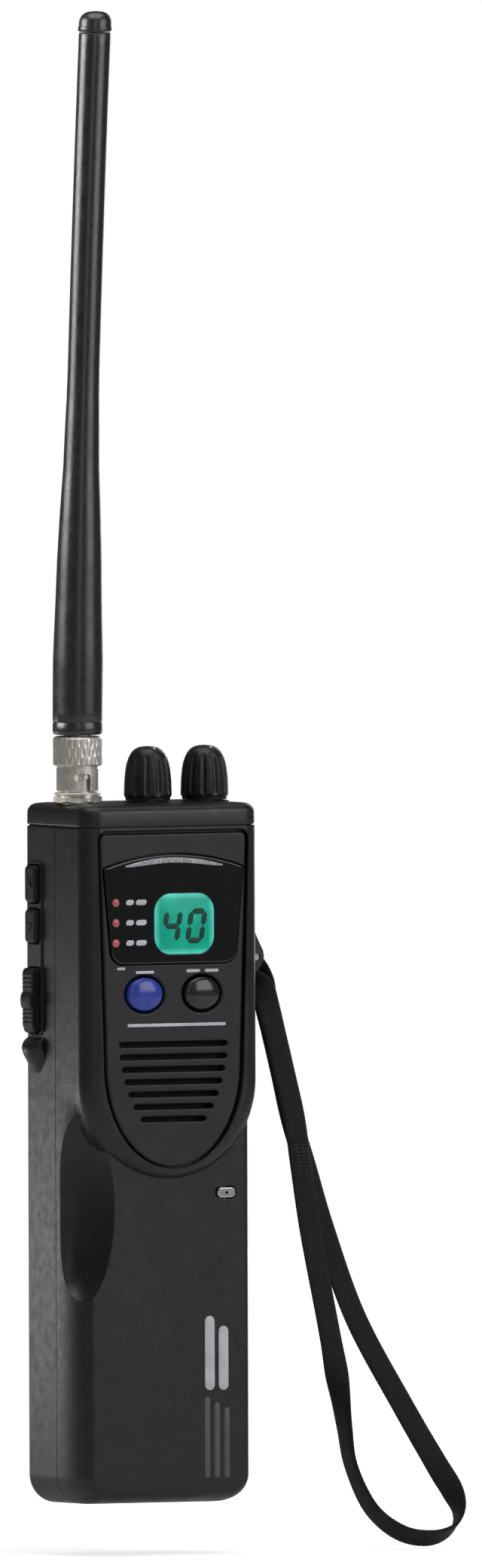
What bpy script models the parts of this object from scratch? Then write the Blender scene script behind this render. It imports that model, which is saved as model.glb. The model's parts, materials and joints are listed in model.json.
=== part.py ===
"""A handheld two-way radio with a whip antenna, a belt clip and a wrist strap.

The origin is the bottom centre of the case. +Z is up, the display faces -Y, and +X is the
right side for someone who faces the display. Constants are in millimetres; MM turns them to metres.
"""

from math import cos, pi, radians, sin

import bmesh
import bpy
from mathutils import Vector

MM = 0.001
GAP = 0.3  # between neighbouring pieces

# Case
HALF_WIDTH = 29.5
FRONT_Y = -18.25
SHIELD_Y = -21.75
BACK_Y = 18.25
SPLIT_Y = -2.0
SHELL_TOP = 200.7
CAP_TOP = 207.5
WALL = 2.2
FRONT_WALL = 2.0
BACK_WALL = 2.5
BOTTOM_WALL = 2.5
BOTTOM_CORNER = 8.5
CAVITY_CORNER = 3.6
FRONT_ROUND = (4.4, 14.0)  # how far the front edges come in, and over what depth
CAVITY_ROUND = (2.6, 12.0)
BACK_CORNER = 4.0
INNER_X = HALF_WIDTH - WALL
INNER_FRONT_Y = FRONT_Y + FRONT_WALL
INNER_BACK_Y = BACK_Y - BACK_WALL
SHIELD_CENTRE_Z = 125.5

# Face panel and what sits in it
PANEL_FRONT_Y = -21.35
RECESS_Y = -19.3
PANEL_TOP_Z = 199.0
PANEL_TOP_HALF = 24.6
PANEL_LOW_HALF = 22.6
PANEL_LOW_Z = 130.0
PANEL_DROP = 30.0
WINDOW_HALF_TOP = 23.4
WINDOW_HALF_LOW = 21.0
WINDOW_CORNER_Z = 188.6
WINDOW_APEX_Z = 192.6
WINDOW_LOW_Z = 160.3
LCD_CENTRE = (3.4, 172.0)
LCD_SIZE = (20.0, 18.0)
LCD_CORNER = 5.5
KEY_Z = 151.3
KEY_X = 9.6
KEY_SIZE = (12.0, 10.0)
SLOT_TOP_Z = 136.4
SLOT_PITCH = 3.7
SLOT_COUNT = 7
SLOT_HEIGHT = 1.5
SPEAKER_Z = 124.0
SPEAKER_R = 20.0
MIC_CENTRE = (19.0, 92.0)

# Controls on the top, all in one row
ROW_Y = -1.75
ANTENNA_X = -21.5
VOLUME_X = 2.0
SQUELCH_X = 21.0
KNOB_BASE_Z = 208.0
KNOB_PROFILE = ((6.7, 0.0), (7.0, 1.2), (6.85, 6.0), (6.5, 9.6), (5.95, 11.9), (5.0, 14.0), (3.4, 15.6))
KNOB_FLUTES = 12
FLUTE_DEPTH = 0.35

# Antenna
SHEATH_BASE_Z = 227.95
SHEATH_TOP_Z = 435.8
ANTENNA_TOP_Z = 442.2
ANTENNA_LEAN = 7.0
SHEATH_RADII = (
    (229.0, 7.4),
    (250.0, 7.45),
    (267.0, 6.95),
    (280.0, 6.65),
    (293.5, 6.1),
    (307.0, 5.4),
    (320.0, 5.1),
    (334.0, 4.75),
    (385.0, 4.75),
    (SHEATH_TOP_Z, 4.75),
)

# Left side keys
KEYS_Y = (7.0, 13.5)
PTT_Z = (139.0, 159.0)
PTT_PIVOT = (-27.4, 141.0)
CHANNEL_UP_Z = (178.0, 189.0)
CHANNEL_DOWN_Z = (166.0, 176.0)

# Accessory socket and its rubber cover on the right side
SOCKET_Y = 7.5
SOCKET_Z = 111.0
COVER_SIZE = (8.6, 15.0)

# Strap lug on the right side, and the webbing
BAR_X = 32.4
BAR_Z = 161.2
BAR_R = 1.05
LUG_Y = (-12.6, -2.3)
LUG_SLOT_Y = (-11.2, -3.6)
STRAP_WIDTH = 7.0
STRAP_THICK = 1.1
STRAP_LOOP_R = 2.1
STRAND_ACROSS = (0.93, 0.37)  # the X and Z of the direction square to the hanging strands

# Battery, board and fastenings
CELL_R = 7.1
CELL_LENGTH = 50.3
CELL_ROWS_Y = (-8.3, 7.2)
CELL_LOW_Z = 10.2
CELL_PITCH = 14.3
CELL_LEVELS = 4
DOOR_TOP_Z = 74.0
DOOR_HALF = 21.6
DOOR_RAIL = 1.5
SHELF_Z = (64.0, 65.6)
SCREWS = {"case_screw_1": (-22.0, 82.0), "case_screw_2": (22.0, 82.0),
          "case_screw_3": (-11.5, 193.0), "case_screw_4": (11.5, 193.0)}
POST_R = 2.8
CLIP_PIVOT_Y = 22.6
CLIP_PIVOT_Z = 181.0
CLIP_LOW_Z = 101.0

MANY_CUTS = ("front_shell", "rear_shell", "face_panel")

# name: colour, roughness, metallic
FINISHES = {
    "case_black": ((0.022, 0.022, 0.025), 0.38, 0.0),
    "panel_black": ((0.018, 0.018, 0.020), 0.45, 0.0),
    "knob_black": ((0.014, 0.014, 0.015), 0.50, 0.0),
    "gloss_black": ((0.004, 0.004, 0.005), 0.06, 0.0),
    "lcd_green": ((0.020, 0.560, 0.320), 0.25, 0.0),
    "key_blue": ((0.030, 0.060, 0.420), 0.12, 0.0),
    "rubber_black": ((0.012, 0.012, 0.013), 0.60, 0.0),
    "nickel": ((0.600, 0.570, 0.520), 0.25, 1.0),
    "steel": ((0.450, 0.450, 0.450), 0.30, 1.0),
    "brass": ((0.700, 0.500, 0.200), 0.30, 1.0),
    "board_green": ((0.020, 0.130, 0.050), 0.50, 0.0),
    "white_plastic": ((0.750, 0.740, 0.700), 0.40, 0.0),
    "paper_cone": ((0.060, 0.055, 0.050), 0.80, 0.0),
    "cell_wrap": ((0.060, 0.110, 0.300), 0.35, 0.0),
    "webbing_black": ((0.010, 0.010, 0.011), 0.85, 0.0),
}


# ---------------------------------------------------------------- building blocks


def clear_scene():
    for obj in list(bpy.data.objects):
        bpy.data.objects.remove(obj, do_unlink=True)


def finish(name):
    """The material of this name, made on first use."""
    if name in bpy.data.materials:
        return bpy.data.materials[name]
    colour, roughness, metallic = FINISHES[name]
    material = bpy.data.materials.new(name)
    material.use_nodes = True
    shader = material.node_tree.nodes["Principled BSDF"]
    shader.inputs["Base Color"].default_value = (*colour, 1.0)
    shader.inputs["Roughness"].default_value = roughness
    shader.inputs["Metallic"].default_value = metallic
    material.diffuse_color = (*colour, 1.0)
    return material


def solid(name, points, faces, material):
    """A closed mesh object from points in millimetres, with its faces turned outwards."""
    mesh = bpy.data.meshes.new(name)
    mesh.from_pydata([tuple(c * MM for c in p) for p in points], [], faces)
    shaped = bmesh.new()
    shaped.from_mesh(mesh)
    bmesh.ops.recalc_face_normals(shaped, faces=shaped.faces)
    shaped.to_mesh(mesh)
    shaped.free()
    mesh.shade_smooth()
    mesh.set_sharp_from_angle(angle=radians(35))
    obj = bpy.data.objects.new(name, mesh)
    bpy.context.scene.collection.objects.link(obj)
    if material:
        mesh.materials.append(finish(material))
    return obj


def lofted(name, rings, material, closed=False):
    """A skin through rings of equal point counts, capped at both ends unless the rings close."""
    count = len(rings[0])
    points = [p for ring in rings for p in ring]
    faces = []
    last = len(rings) if closed else len(rings) - 1
    for i in range(last):
        start = i * count
        after = (i + 1) % len(rings) * count
        for j in range(count):
            k = (j + 1) % count
            faces.append((start + j, start + k, after + k, after + j))
    if not closed:
        faces.append(tuple(range(count)))
        faces.append(tuple(range(len(points) - count, len(points))))
    return solid(name, points, faces, material)


def turned(name, profile, centre, material=None, axis="z", segments=24, ripple=None):
    """A closed (radius, height) profile turned round an axis; radius 0 lies on the axis.

    ripple(angle, radius, height) may change the radius, as flutes and knurls do.
    """
    points = []
    rows = []
    for radius, height in profile:
        steps = segments if radius > 0 else 1
        row = []
        for i in range(steps):
            angle = 2 * pi * i / segments
            r = ripple(angle, radius, height) if ripple and radius > 0 else radius
            a, b = r * cos(angle), r * sin(angle)
            offset = {"z": (a, b, height), "y": (a, height, b), "x": (height, a, b)}[axis]
            row.append(len(points))
            points.append(tuple(c + o for c, o in zip(centre, offset)))
        rows.append(row)
    faces = []
    for i, row in enumerate(rows):
        after = rows[(i + 1) % len(rows)]
        for j in range(segments):
            k = (j + 1) % segments
            corners = [row[j % len(row)], row[k % len(row)], after[k % len(after)], after[j % len(after)]]
            corners = list(dict.fromkeys(corners))
            if len(corners) > 2:
                faces.append(tuple(corners))
    return solid(name, points, faces, material)


def box(name, low, high, material=None):
    """A box between two corners."""
    (x0, y0, z0), (x1, y1, z1) = low, high
    base = ((x0, y0), (x1, y0), (x1, y1), (x0, y1))
    return lofted(name, [[(x, y, z) for x, y in base] for z in (z0, z1)], material)


def arc(centre, radius, start, end, steps):
    """Points on a circle or, with two radii, on an ellipse; the angles are in degrees."""
    rx, rz = radius if isinstance(radius, tuple) else (radius, radius)
    angles = (radians(start + (end - start) * i / steps) for i in range(steps + 1))
    return [(centre[0] + rx * cos(a), centre[1] + rz * sin(a)) for a in angles]


def rounded(low, high, corners, steps=4):
    """A rectangle, anticlockwise from its lower left, with a radius for each corner."""
    (x0, z0), (x1, z1) = low, high
    places = ((x0, z0, 1, 1, 180), (x1, z0, -1, 1, 270), (x1, z1, -1, -1, 0), (x0, z1, 1, -1, 90))
    outline = []
    for (x, z, side, up, start), r in zip(places, corners):
        if r:
            outline += arc((x + side * r, z + up * r), r, start, start + 90, steps)
        else:
            outline.append((x, z))
    return outline


def grown(outline, by):
    """An anticlockwise outline moved outwards by a distance, or inwards if it is negative."""
    moved = []
    for i, here in enumerate(outline):
        before = Vector(here) - Vector(outline[i - 1])
        after = Vector(outline[(i + 1) % len(outline)]) - Vector(here)
        before.normalize()
        after.normalize()
        across = Vector((before.y + after.y, -before.x - after.x))
        across.normalize()
        share = max(0.5, across.dot(Vector((after.y, -after.x))))
        moved.append((here[0] + across.x * by / share, here[1] + across.y * by / share))
    return moved


def stacked(name, outline, layers, material=None, axis="y"):
    """An outline lofted along an axis through (place, growth) layers."""
    rings = []
    for place, growth in layers:
        ring = grown(outline, growth) if growth else outline
        if axis == "y":
            rings.append([(a, place, b) for a, b in ring])
        elif axis == "z":
            rings.append([(a, b, place) for a, b in ring])
        else:
            rings.append([(place, a, b) for a, b in ring])
    return lofted(name, rings, material)


def change(obj, operation, tools):
    """Adds one Boolean per tool, and keeps the tools out of the render.

    The shells take many cuts in one flat wall, where the exact solver leaves open edges.
    """
    for tool in tools:
        modifier = obj.modifiers.new(tool.name, "BOOLEAN")
        modifier.operation = operation
        modifier.object = tool
        if obj.name in MANY_CUTS:
            modifier.solver = "MANIFOLD"
        tool.hide_render = True
        tool.display_type = "WIRE"


def cut(obj, *tools):
    change(obj, "DIFFERENCE", tools)


def keep(obj, *tools):
    change(obj, "INTERSECT", tools)


def join(obj, *tools):
    change(obj, "UNION", tools)


# ---------------------------------------------------------------- outlines


def shield_outline():
    """The raised upper block from the front: straight sides and a round lower end."""
    lower = arc((0, SHIELD_CENTRE_Z), HALF_WIDTH, 180, 360, 28)
    return [*lower, (HALF_WIDTH, SHELL_TOP), (-HALF_WIDTH, SHELL_TOP)]


def panel_outline():
    """The face panel: its sides come in a little on the way down to a half ellipse."""
    lower = arc((0, PANEL_LOW_Z), (PANEL_LOW_HALF, PANEL_DROP), 180, 360, 24)
    top = arc((PANEL_TOP_HALF - 2, PANEL_TOP_Z - 2), 2, 0, 90, 3)
    return [*lower, *top, *[(-x, z) for x, z in reversed(top)]]


def window_outline():
    """The display window: an arched top, sides that come in, and round lower corners."""
    corner = 4.0
    low = arc((-WINDOW_HALF_LOW + corner, WINDOW_LOW_Z + corner), corner, 190, 270, 5)
    top = []
    steps = 12
    for i in range(steps + 1):
        share = 1 - 2 * i / steps
        rise = (WINDOW_APEX_Z - WINDOW_CORNER_Z) * (1 - share**2)
        top.append((WINDOW_HALF_TOP * share, WINDOW_CORNER_Z + rise))
    return [*low, *[(-x, z) for x, z in reversed(low)], *top]


def lcd_outline():
    (x, z), (w, h) = LCD_CENTRE, LCD_SIZE
    return rounded((x - w / 2, z - h / 2), (x + w / 2, z + h / 2), (LCD_CORNER,) * 4, 5)


def key_outline(x):
    return arc((x, KEY_Z), (KEY_SIZE[0] / 2, KEY_SIZE[1] / 2), 0, 345, 23)


def slot_outline(index):
    """One grille slot; the slots follow the panel's outline as it narrows."""
    z = SLOT_TOP_Z - index * SLOT_PITCH
    half = min(17.3, 17.6 * (1 - ((SLOT_TOP_Z - z + 4.0) / 32.0) ** 2) ** 0.5)
    r = SLOT_HEIGHT / 2
    return [*arc((-half, z), r, 90, 270, 4), *arc((half, z), r, 270, 450, 4)]


def around(centre, r, y0, y1, name):
    """A plain cylinder along Y, used as a cutter or a boss; centre is (x, z)."""
    profile = ((r, y0), (r, y1), (0, y1), (0, y0))
    return turned(name, profile, (centre[0], 0, centre[1]), axis="y", segments=16)


def upright(x, r, z0, z1, name, material=None, y=ROW_Y):
    """A plain cylinder along Z in the row of top controls."""
    profile = ((r, z0), (r, z1), (0, z1), (0, z0))
    return turned(name, profile, (x, y, 0), material)


def crosswise(name, r, x0, x1, y, z, material=None, segments=16):
    """A plain cylinder along X."""
    profile = ((r, x0), (r, x1), (0, x1), (0, x0))
    return turned(name, profile, (0, y, z), material, axis="x", segments=segments)


def window_cutter(name, outline, growth):
    """An outline driven right through the front wall and the panel."""
    return stacked(name, grown(outline, growth), [(SHIELD_Y - 3, 0), (-14.5, 0)])


# ---------------------------------------------------------------- casing


def tall_outline():
    """The case outline from the front, taller than the shells so that they are trimmed level."""
    low = (-HALF_WIDTH, 0.0)
    high = (HALF_WIDTH, SHELL_TOP + 5)
    return rounded(low, high, (BOTTOM_CORNER, BOTTOM_CORNER, 0, 0))


def rear_form(name, material=None):
    """The rear half of the case as a plain block with its back edges rounded."""
    r = BACK_CORNER
    layers = [(SPLIT_Y + GAP / 2, 0), (BACK_Y - r, 0), (BACK_Y - 0.5 * r, -0.14 * r)]
    layers += [(BACK_Y - 0.13 * r, -0.5 * r), (BACK_Y, -r)]
    return stacked(name, tall_outline(), layers, material)


def eased(start, way_in, depth, steps=6):
    """Layers along Y of a quarter ellipse: the outline comes in towards the start."""
    turns = [radians(90 * i / steps) for i in range(steps + 1)]
    return [(start + depth * (1 - cos(turn)), way_in * (sin(turn) - 1)) for turn in turns]


def hollow_outline():
    """The room inside the shells from the front, open at the top."""
    corners = (CAVITY_CORNER, CAVITY_CORNER, 0, 0)
    return rounded((-INNER_X, BOTTOM_WALL), (INNER_X, SHELL_TOP + 20), corners)


def trim_top(name):
    return box(name, (-50, -50, SHELL_TOP), (50, 50, SHELL_TOP + 20))


def scoop(name, grow):
    """The hollow in the lower left front corner, or with growth the wall behind it."""
    mesh = bpy.data.meshes.new(name)
    ball = bmesh.new()
    bmesh.ops.create_uvsphere(ball, u_segments=20, v_segments=12, radius=1.0)
    centre = (-31.0, -20.5, 88.0)
    radii = (12.8 + grow, 16.0 + grow, 29.5 + grow)
    for vertex in ball.verts:
        vertex.co = Vector([(c + v * r) * MM for c, v, r in zip(centre, vertex.co, radii)])
    ball.to_mesh(mesh)
    ball.free()
    obj = bpy.data.objects.new(name, mesh)
    bpy.context.scene.collection.objects.link(obj)
    return obj


def lug():
    """The strap lug: a wedge on the right side, open below for the webbing."""
    outline = [(29.0, 178.0), (29.0, 149.5), (34.2, 158.0), (35.3, 161.4), (34.6, 164.0), (31.0, 171.5)]
    wedge = stacked("lug_wedge", outline, [(LUG_Y[0], -0.5), (LUG_Y[0] + 0.5, 0), (LUG_Y[1], 0)])
    slot = box("lug_slot", (29.3, LUG_SLOT_Y[0], 140), (40, LUG_SLOT_Y[1], 165.2))
    return wedge, slot


def front_shell():
    layers = [*eased(FRONT_Y, *FRONT_ROUND), (SPLIT_Y - GAP / 2, 0)]
    shell = stacked("front_shell", tall_outline(), layers, "case_black")
    high = [*shield_outline()[:-2], (HALF_WIDTH, SHELL_TOP + 5), (-HALF_WIDTH, SHELL_TOP + 5)]
    raised = stacked("raised_block", high,
                     [(SHIELD_Y, -2.2), (SHIELD_Y + 0.35, -1.0), (SHIELD_Y + 1.0, -0.3),
                      (SHIELD_Y + 2.2, 0), (SPLIT_Y - 2.0, 0)])
    join(shell, raised)
    for i, place in enumerate(SCREWS.values()):
        join(shell, around(place, POST_R, SPLIT_Y - 3, INNER_BACK_Y - 0.45, f"post_{i}"))
    shelf = box("shelf", (-26.8, SPLIT_Y - 3, SHELF_Z[0]), (26.8, 15.2, SHELF_Z[1]))
    join(shell, shelf)
    cut(shell, front_cavity(), trim_top("front_trim"))
    hollow = scoop("scoop_cut", 0.0)
    cut(hollow, stacked("scoop_stop", shield_outline(), [(-40, 0), (10, 0)]))
    cut(shell, hollow)
    add_front_fittings(shell)


def front_cavity():
    """The hollow of the front shell, which leaves the posts, the shelf and the scoop's wall standing."""
    layers = [*eased(INNER_FRONT_Y, *CAVITY_ROUND), (5, 0)]
    cavity = stacked("front_cavity", hollow_outline(), layers)
    cut(cavity, scoop("scoop_wall", 2.0))
    cut(cavity, box("shelf_room", (-26.9, -20, SHELF_Z[0] - 0.1), (26.9, 10, SHELF_Z[1] + 0.1)))
    for i, place in enumerate(SCREWS.values()):
        cut(cavity, around(place, POST_R + 0.1, -20, 10, f"post_room_{i}"))
    return cavity


def add_front_fittings(shell):
    """The strap lug, the screw bores, and the openings for what the front shell carries."""
    for i, place in enumerate(SCREWS.values()):
        cut(shell, around(place, 1.5, 3.0, 16.0, f"post_bore_{i}"))
    wedge, slot = lug()
    join(shell, wedge)
    cut(shell, slot, around((BAR_X, BAR_Z), BAR_R + 0.25, -13.5, -1.0, "bar_bore"))
    recess = stacked("panel_recess", grown(panel_outline(), 0.5), [(SHIELD_Y - 3, 0), (RECESS_Y, 0)])
    cut(shell, recess, window_cutter("light_hole", lcd_outline(), -1.1))
    cut(shell, *[window_cutter(f"key_hole_{x:.0f}", key_outline(x), 0.5) for x in (-KEY_X, KEY_X)])
    cut(shell, around((0, SPEAKER_Z), 16.5, -24, -14.5, "speaker_hole"))
    cut(shell, window_cutter("mic_hole", mic_outline(), GAP))


def rear_shell():
    shell = rear_form("rear_shell", "case_black")
    cavity = stacked("rear_cavity", hollow_outline(), [(SPLIT_Y - 3, 0), (INNER_BACK_Y, 0)])
    cut(shell, cavity, trim_top("rear_trim"))
    cut_door_way(shell)
    add_key_side(shell)
    add_jack_recess(shell)
    for i, place in enumerate(SCREWS.values()):
        cut(shell, around(place, 1.6, 14, 20, f"screw_way_{i}"))
        cut(shell, around(place, 3.0, BACK_Y - 1.4, 20, f"screw_seat_{i}"))
    for side in (-1, 1):
        outline = rounded((17.4, 175.6), (25.0, 186.4), (0, 2.5, 2.5, 0))
        ends = sorted((side * 9.4, side * 11.4))
        join(shell, stacked(f"clip_ear_{side}", outline, [(x, 0) for x in ends], axis="x"))
    cut(shell, crosswise("clip_pin_way", 1.35, -14, 14, CLIP_PIVOT_Y, CLIP_PIVOT_Z))
    return shell


def cut_door_way(shell):
    """The opening for the battery door, with a groove down each side for its rails."""
    half = DOOR_HALF + GAP
    way = box("door_way", (-half, 15.6, -1), (half, 20, DOOR_TOP_Z + GAP))
    groove = box("door_groove", (-half - DOOR_RAIL, 16.6, -1), (half + DOOR_RAIL, 17.7, DOOR_TOP_Z + GAP))
    cut(shell, way, groove)


def add_key_side(shell):
    """The openings, hinge ears and guard ledge for the keys on the left side."""
    y0, y1 = KEYS_Y
    for name, (z0, z1), room in (("ptt_way", PTT_Z, 0.4), ("up_way", CHANNEL_UP_Z, GAP),
                                 ("down_way", CHANNEL_DOWN_Z, GAP)):
        cut(shell, box(name, (-40, y0 - room, z0 - room), (-25, y1 + room, z1 + room)))
    for i, (low, high) in enumerate(((4.6, y0 - 0.4), (y1 + 0.4, 15.95))):
        join(shell, box(f"ptt_ear_{i}", (-27.6, low, 139.0), (-25.8, high, 143.0)))
    cut(shell, around(PTT_PIVOT, 0.95, 3.0, 15.5, "ptt_pin_way"))
    guard = [(-33.3, 134.5), (-28.8, 123.5), (-28.8, 138.2), (-33.3, 136.4)]
    layers = [(5.2, -0.5), (5.7, 0), (14.4, 0), (14.9, -0.5)]
    join(shell, stacked("guard_ledge", guard, layers))


def add_jack_recess(shell):
    """The recess on the right side for the rubber cover, with a hole for the socket."""
    low = (28.2, SOCKET_Y - COVER_SIZE[0] / 2 - GAP, SOCKET_Z - COVER_SIZE[1] / 2 - GAP)
    high = (40, SOCKET_Y + COVER_SIZE[0] / 2 + GAP, SOCKET_Z + COVER_SIZE[1] / 2 + GAP)
    cut(shell, box("cover_recess", low, high))
    cut(shell, crosswise("socket_way", 3.2, 26, 30, SOCKET_Y, SOCKET_Z))


def top_cap():
    """The cap over both shells; its underside plugs into them."""
    plan = rounded((-HALF_WIDTH, SHIELD_Y), (HALF_WIDTH, BACK_Y), (2.6, 2.6, BACK_CORNER, BACK_CORNER), 5)
    layers = [(SHELL_TOP + GAP, -0.3), (SHELL_TOP + 0.6, 0), (CAP_TOP - 2.4, 0), (CAP_TOP - 1.2, -0.45)]
    layers += [(CAP_TOP - 0.4, -1.2), (CAP_TOP, -2.4)]
    cap = stacked("top_cap", plan, layers, "case_black", axis="z")
    plug = rounded((-26.4, -15.9), (26.4, 15.4), (3.4, 3.4, 0, 0))
    join(cap, stacked("cap_plug", plug, [(198.6, 0), (203.0, 0)], axis="z"))
    cut(cap, upright(ANTENNA_X, 5.1, 190, 215, "jack_way"))
    for x in (VOLUME_X, SQUELCH_X):
        cut(cap, upright(x, 3.4, 190, 215, f"shaft_way_{x:.0f}"))


def battery_door():
    door = box("battery_door", (-DOOR_HALF, 15.9, 0.3), (DOOR_HALF, 30, DOOR_TOP_Z), "case_black")
    keep(door, rear_form("door_form"))
    reach = DOOR_HALF + DOOR_RAIL - GAP
    join(door, box("door_rails", (-reach, 16.85, 3.0), (reach, 17.45, DOOR_TOP_Z - 0.5)))
    cut(door, *[box(f"door_grip_{z:.0f}", (-8, 17.6, z), (8, 20, z + 1)) for z in (60.0, 62.5)])


# ---------------------------------------------------------------- face


def face_panel():
    layers = [(PANEL_FRONT_Y, -0.6), (PANEL_FRONT_Y + 0.5, 0), (RECESS_Y - GAP, 0)]
    panel = stacked("face_panel", panel_outline(), layers, "panel_black")
    cut(panel, window_cutter("panel_window", window_outline(), GAP))
    for x in (-KEY_X, KEY_X):
        cut(panel, window_cutter(f"panel_key_{x:.0f}", key_outline(x), 0.5))
    for i in range(SLOT_COUNT):
        cut(panel, window_cutter(f"slot_{i}", slot_outline(i), 0))


def display():
    layers = [(-22.0, -0.9), (-21.85, -0.4), (-21.5, 0), (RECESS_Y - GAP, 0)]
    window = stacked("display_window", window_outline(), layers, "gloss_black")
    cut(window, window_cutter("lcd_way", lcd_outline(), GAP))
    stacked("lcd_panel", lcd_outline(), [(-21.8, -0.3), (-21.6, 0), (RECESS_Y - GAP, 0)], "lcd_green")
    stacked("lcd_light_guide", grown(lcd_outline(), -1.5), [(-19.2, 0), (-16.35, 0)], "white_plastic")
    box("display_board", (-20, -16.0, 161), (20, -14.9, 189), "board_green")


def keys():
    dome = [(-23.0, -3.4), (-22.85, -2.2), (-22.45, -1.0), (-21.9, -0.25), (-21.4, 0), (-17.5, 0)]
    stacked("call_button", key_outline(-KEY_X), dome, "key_blue")
    stacked("mode_button", key_outline(KEY_X), dome, "gloss_black")
    box("keypad_membrane", (-17, -15.95, 144.5), (17, -14.9, 158), "rubber_black")


def speaker():
    centre = (0, 0, SPEAKER_Z)
    frame = ((SPEAKER_R, -15.95), (SPEAKER_R, -14.5), (18.0, -14.5), (11.0, -8.4), (6.0, -8.4),
             (6.0, -9.4), (10.4, -9.4), (17.2, -15.0), (17.2, -15.95))
    turned("speaker_frame", frame, centre, "steel", "y", 32)
    cone = ((16.8, -15.9), (16.8, -15.4), (6.5, -10.0), (0, -10.0), (0, -12.2), (3.5, -11.6),
            (5.2, -10.9), (15.9, -15.9))
    turned("speaker_cone", cone, centre, "paper_cone", "y", 32)
    turned("speaker_magnet", ((9.5, -8.1), (9.5, -3.5), (0, -3.5), (0, -8.1)), centre, "steel", "y")


def mic_outline():
    x, z = MIC_CENTRE
    return rounded((x - 3.1, z - 1.6), (x + 3.1, z + 1.6), (1.6,) * 4, 5)


def microphone():
    x, z = MIC_CENTRE
    trim = stacked("mic_trim", mic_outline(), [(-18.85, -0.5), (-18.5, 0), (-16.7, 0)], "nickel")
    cut(trim, around(MIC_CENTRE, 0.6, -20, -16, "mic_port"))
    boot = ((3.6, -15.95), (3.6, -11.5), (0, -11.5), (0, -12.5), (2.7, -12.5), (2.7, -15.95))
    turned("microphone_boot", boot, (x, 0, z), "rubber_black", "y", 20)
    capsule = ((2.4, -15.6), (2.4, -12.8), (0, -12.8), (0, -15.6))
    turned("microphone_capsule", capsule, (x, 0, z), "steel", "y", 20)


# ---------------------------------------------------------------- top controls and antenna


def knob_flutes(angle, radius, _height):
    return radius - FLUTE_DEPTH * (0.5 + 0.5 * cos(KNOB_FLUTES * angle)) if radius > 5.5 else radius


def control(name, x):
    """A control under the cap, the shaft it turns, and the knob on that shaft."""
    y = ROW_Y
    box(f"{name}_control", (x - 6, y - 6, 187.2), (x + 6, y + 6, 198.3), "steel")
    upright(x, 3.0, 198.6, 221.0, f"{name}_shaft", "steel")
    outer = [(r, KNOB_BASE_Z + z) for r, z in KNOB_PROFILE]
    bore = [(0, 224.2), (0, 221.4), (3.3, 221.4), (3.3, KNOB_BASE_Z)]
    knob = turned(f"{name}_knob", outer + bore, (0, 0, 0), "knob_black", segments=48, ripple=knob_flutes)
    knob.location = (x * MM, y * MM, 0)


def jack():
    centre = (ANTENNA_X, ROW_Y, 0)
    body = ((4.7, 192.0), (4.7, 207.9), (7.2, 207.9), (7.2, 210.4), (6.8, 210.8), (4.85, 210.8),
            (4.85, 221.0), (3.9, 221.0), (3.9, 192.0))
    socket = turned("antenna_jack", body, centre, "nickel", segments=32)
    for side in (-1, 1):
        ends = sorted((side * 4.5, side * 5.35))
        lug_profile = ((0.8, ends[0]), (0.8, ends[1]), (0, ends[1]), (0, ends[0]))
        join(socket, turned(f"jack_lug_{side}", lug_profile, (ANTENNA_X, ROW_Y, 215.5), axis="y", segments=8))
    turned("jack_insulator", ((3.6, 196), (3.6, 215), (1.1, 215), (1.1, 196)), centre, "white_plastic")
    turned("jack_contact", ((0.8, 192), (0.8, 216.6), (0, 216.6), (0, 192)), centre, "brass", segments=12)


def knurl(angle, radius, _height):
    return radius - 0.35 * (0.5 + 0.5 * cos(24 * angle)) if radius > 7.2 else radius


def plug_and_collar():
    centre = (ANTENNA_X, ROW_Y, 0)
    body = ((3.5, 217.2), (3.5, 222.0), (5.2, 222.0), (5.2, 224.6), (4.0, 224.6), (4.0, 233.2),
            (1.1, 233.2), (1.1, 222.8), (2.6, 222.8), (2.6, 217.2))
    turned("antenna_plug", body, centre, "nickel")
    turned("plug_pin", ((0.8, 217.3), (0.8, 230), (0, 230), (0, 217.3)), centre, "brass", segments=12)
    ring = ((6.3, 211.2), (6.3, 218.4), (7.3, 219.2), (7.3, 227.1), (6.8, 227.6), (4.4, 227.6),
            (4.4, 225.0), (5.6, 225.0), (5.6, 211.2))
    collar = turned("bayonet_collar", ring, centre, "nickel", segments=48, ripple=knurl)
    for side in (-1, 1):
        near, far = sorted((ROW_Y + side * 5.0, ROW_Y + side * 8.0))
        entry = box(f"entry_{side}", (ANTENNA_X - 1, near, 210), (ANTENNA_X + 1, far, 216.4))
        run = sorted((ANTENNA_X, ANTENNA_X + side * 3.6))
        cut(collar, entry, box(f"run_{side}", (run[0], near, 214.4), (run[1], far, 216.4)))


def stepped(profile, step=20.0):
    """The profile with its long rises split, so that the turned piece can bend."""
    out = []
    for i, (r0, z0) in enumerate(profile):
        r1, z1 = profile[(i + 1) % len(profile)]
        pieces = max(1, round(abs(z1 - z0) / step))
        out += [(r0 + (r1 - r0) * k / pieces, z0 + (z1 - z0) * k / pieces) for k in range(pieces)]
    return out


def lean(obj):
    """Bends an antenna piece sideways, more towards the tip."""
    for vertex in obj.data.vertices:
        share = (vertex.co.z / MM - SHEATH_BASE_Z) / (ANTENNA_TOP_Z - SHEATH_BASE_Z)
        vertex.co.x += ANTENNA_LEAN * MM * max(0.0, share) ** 1.5


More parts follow.
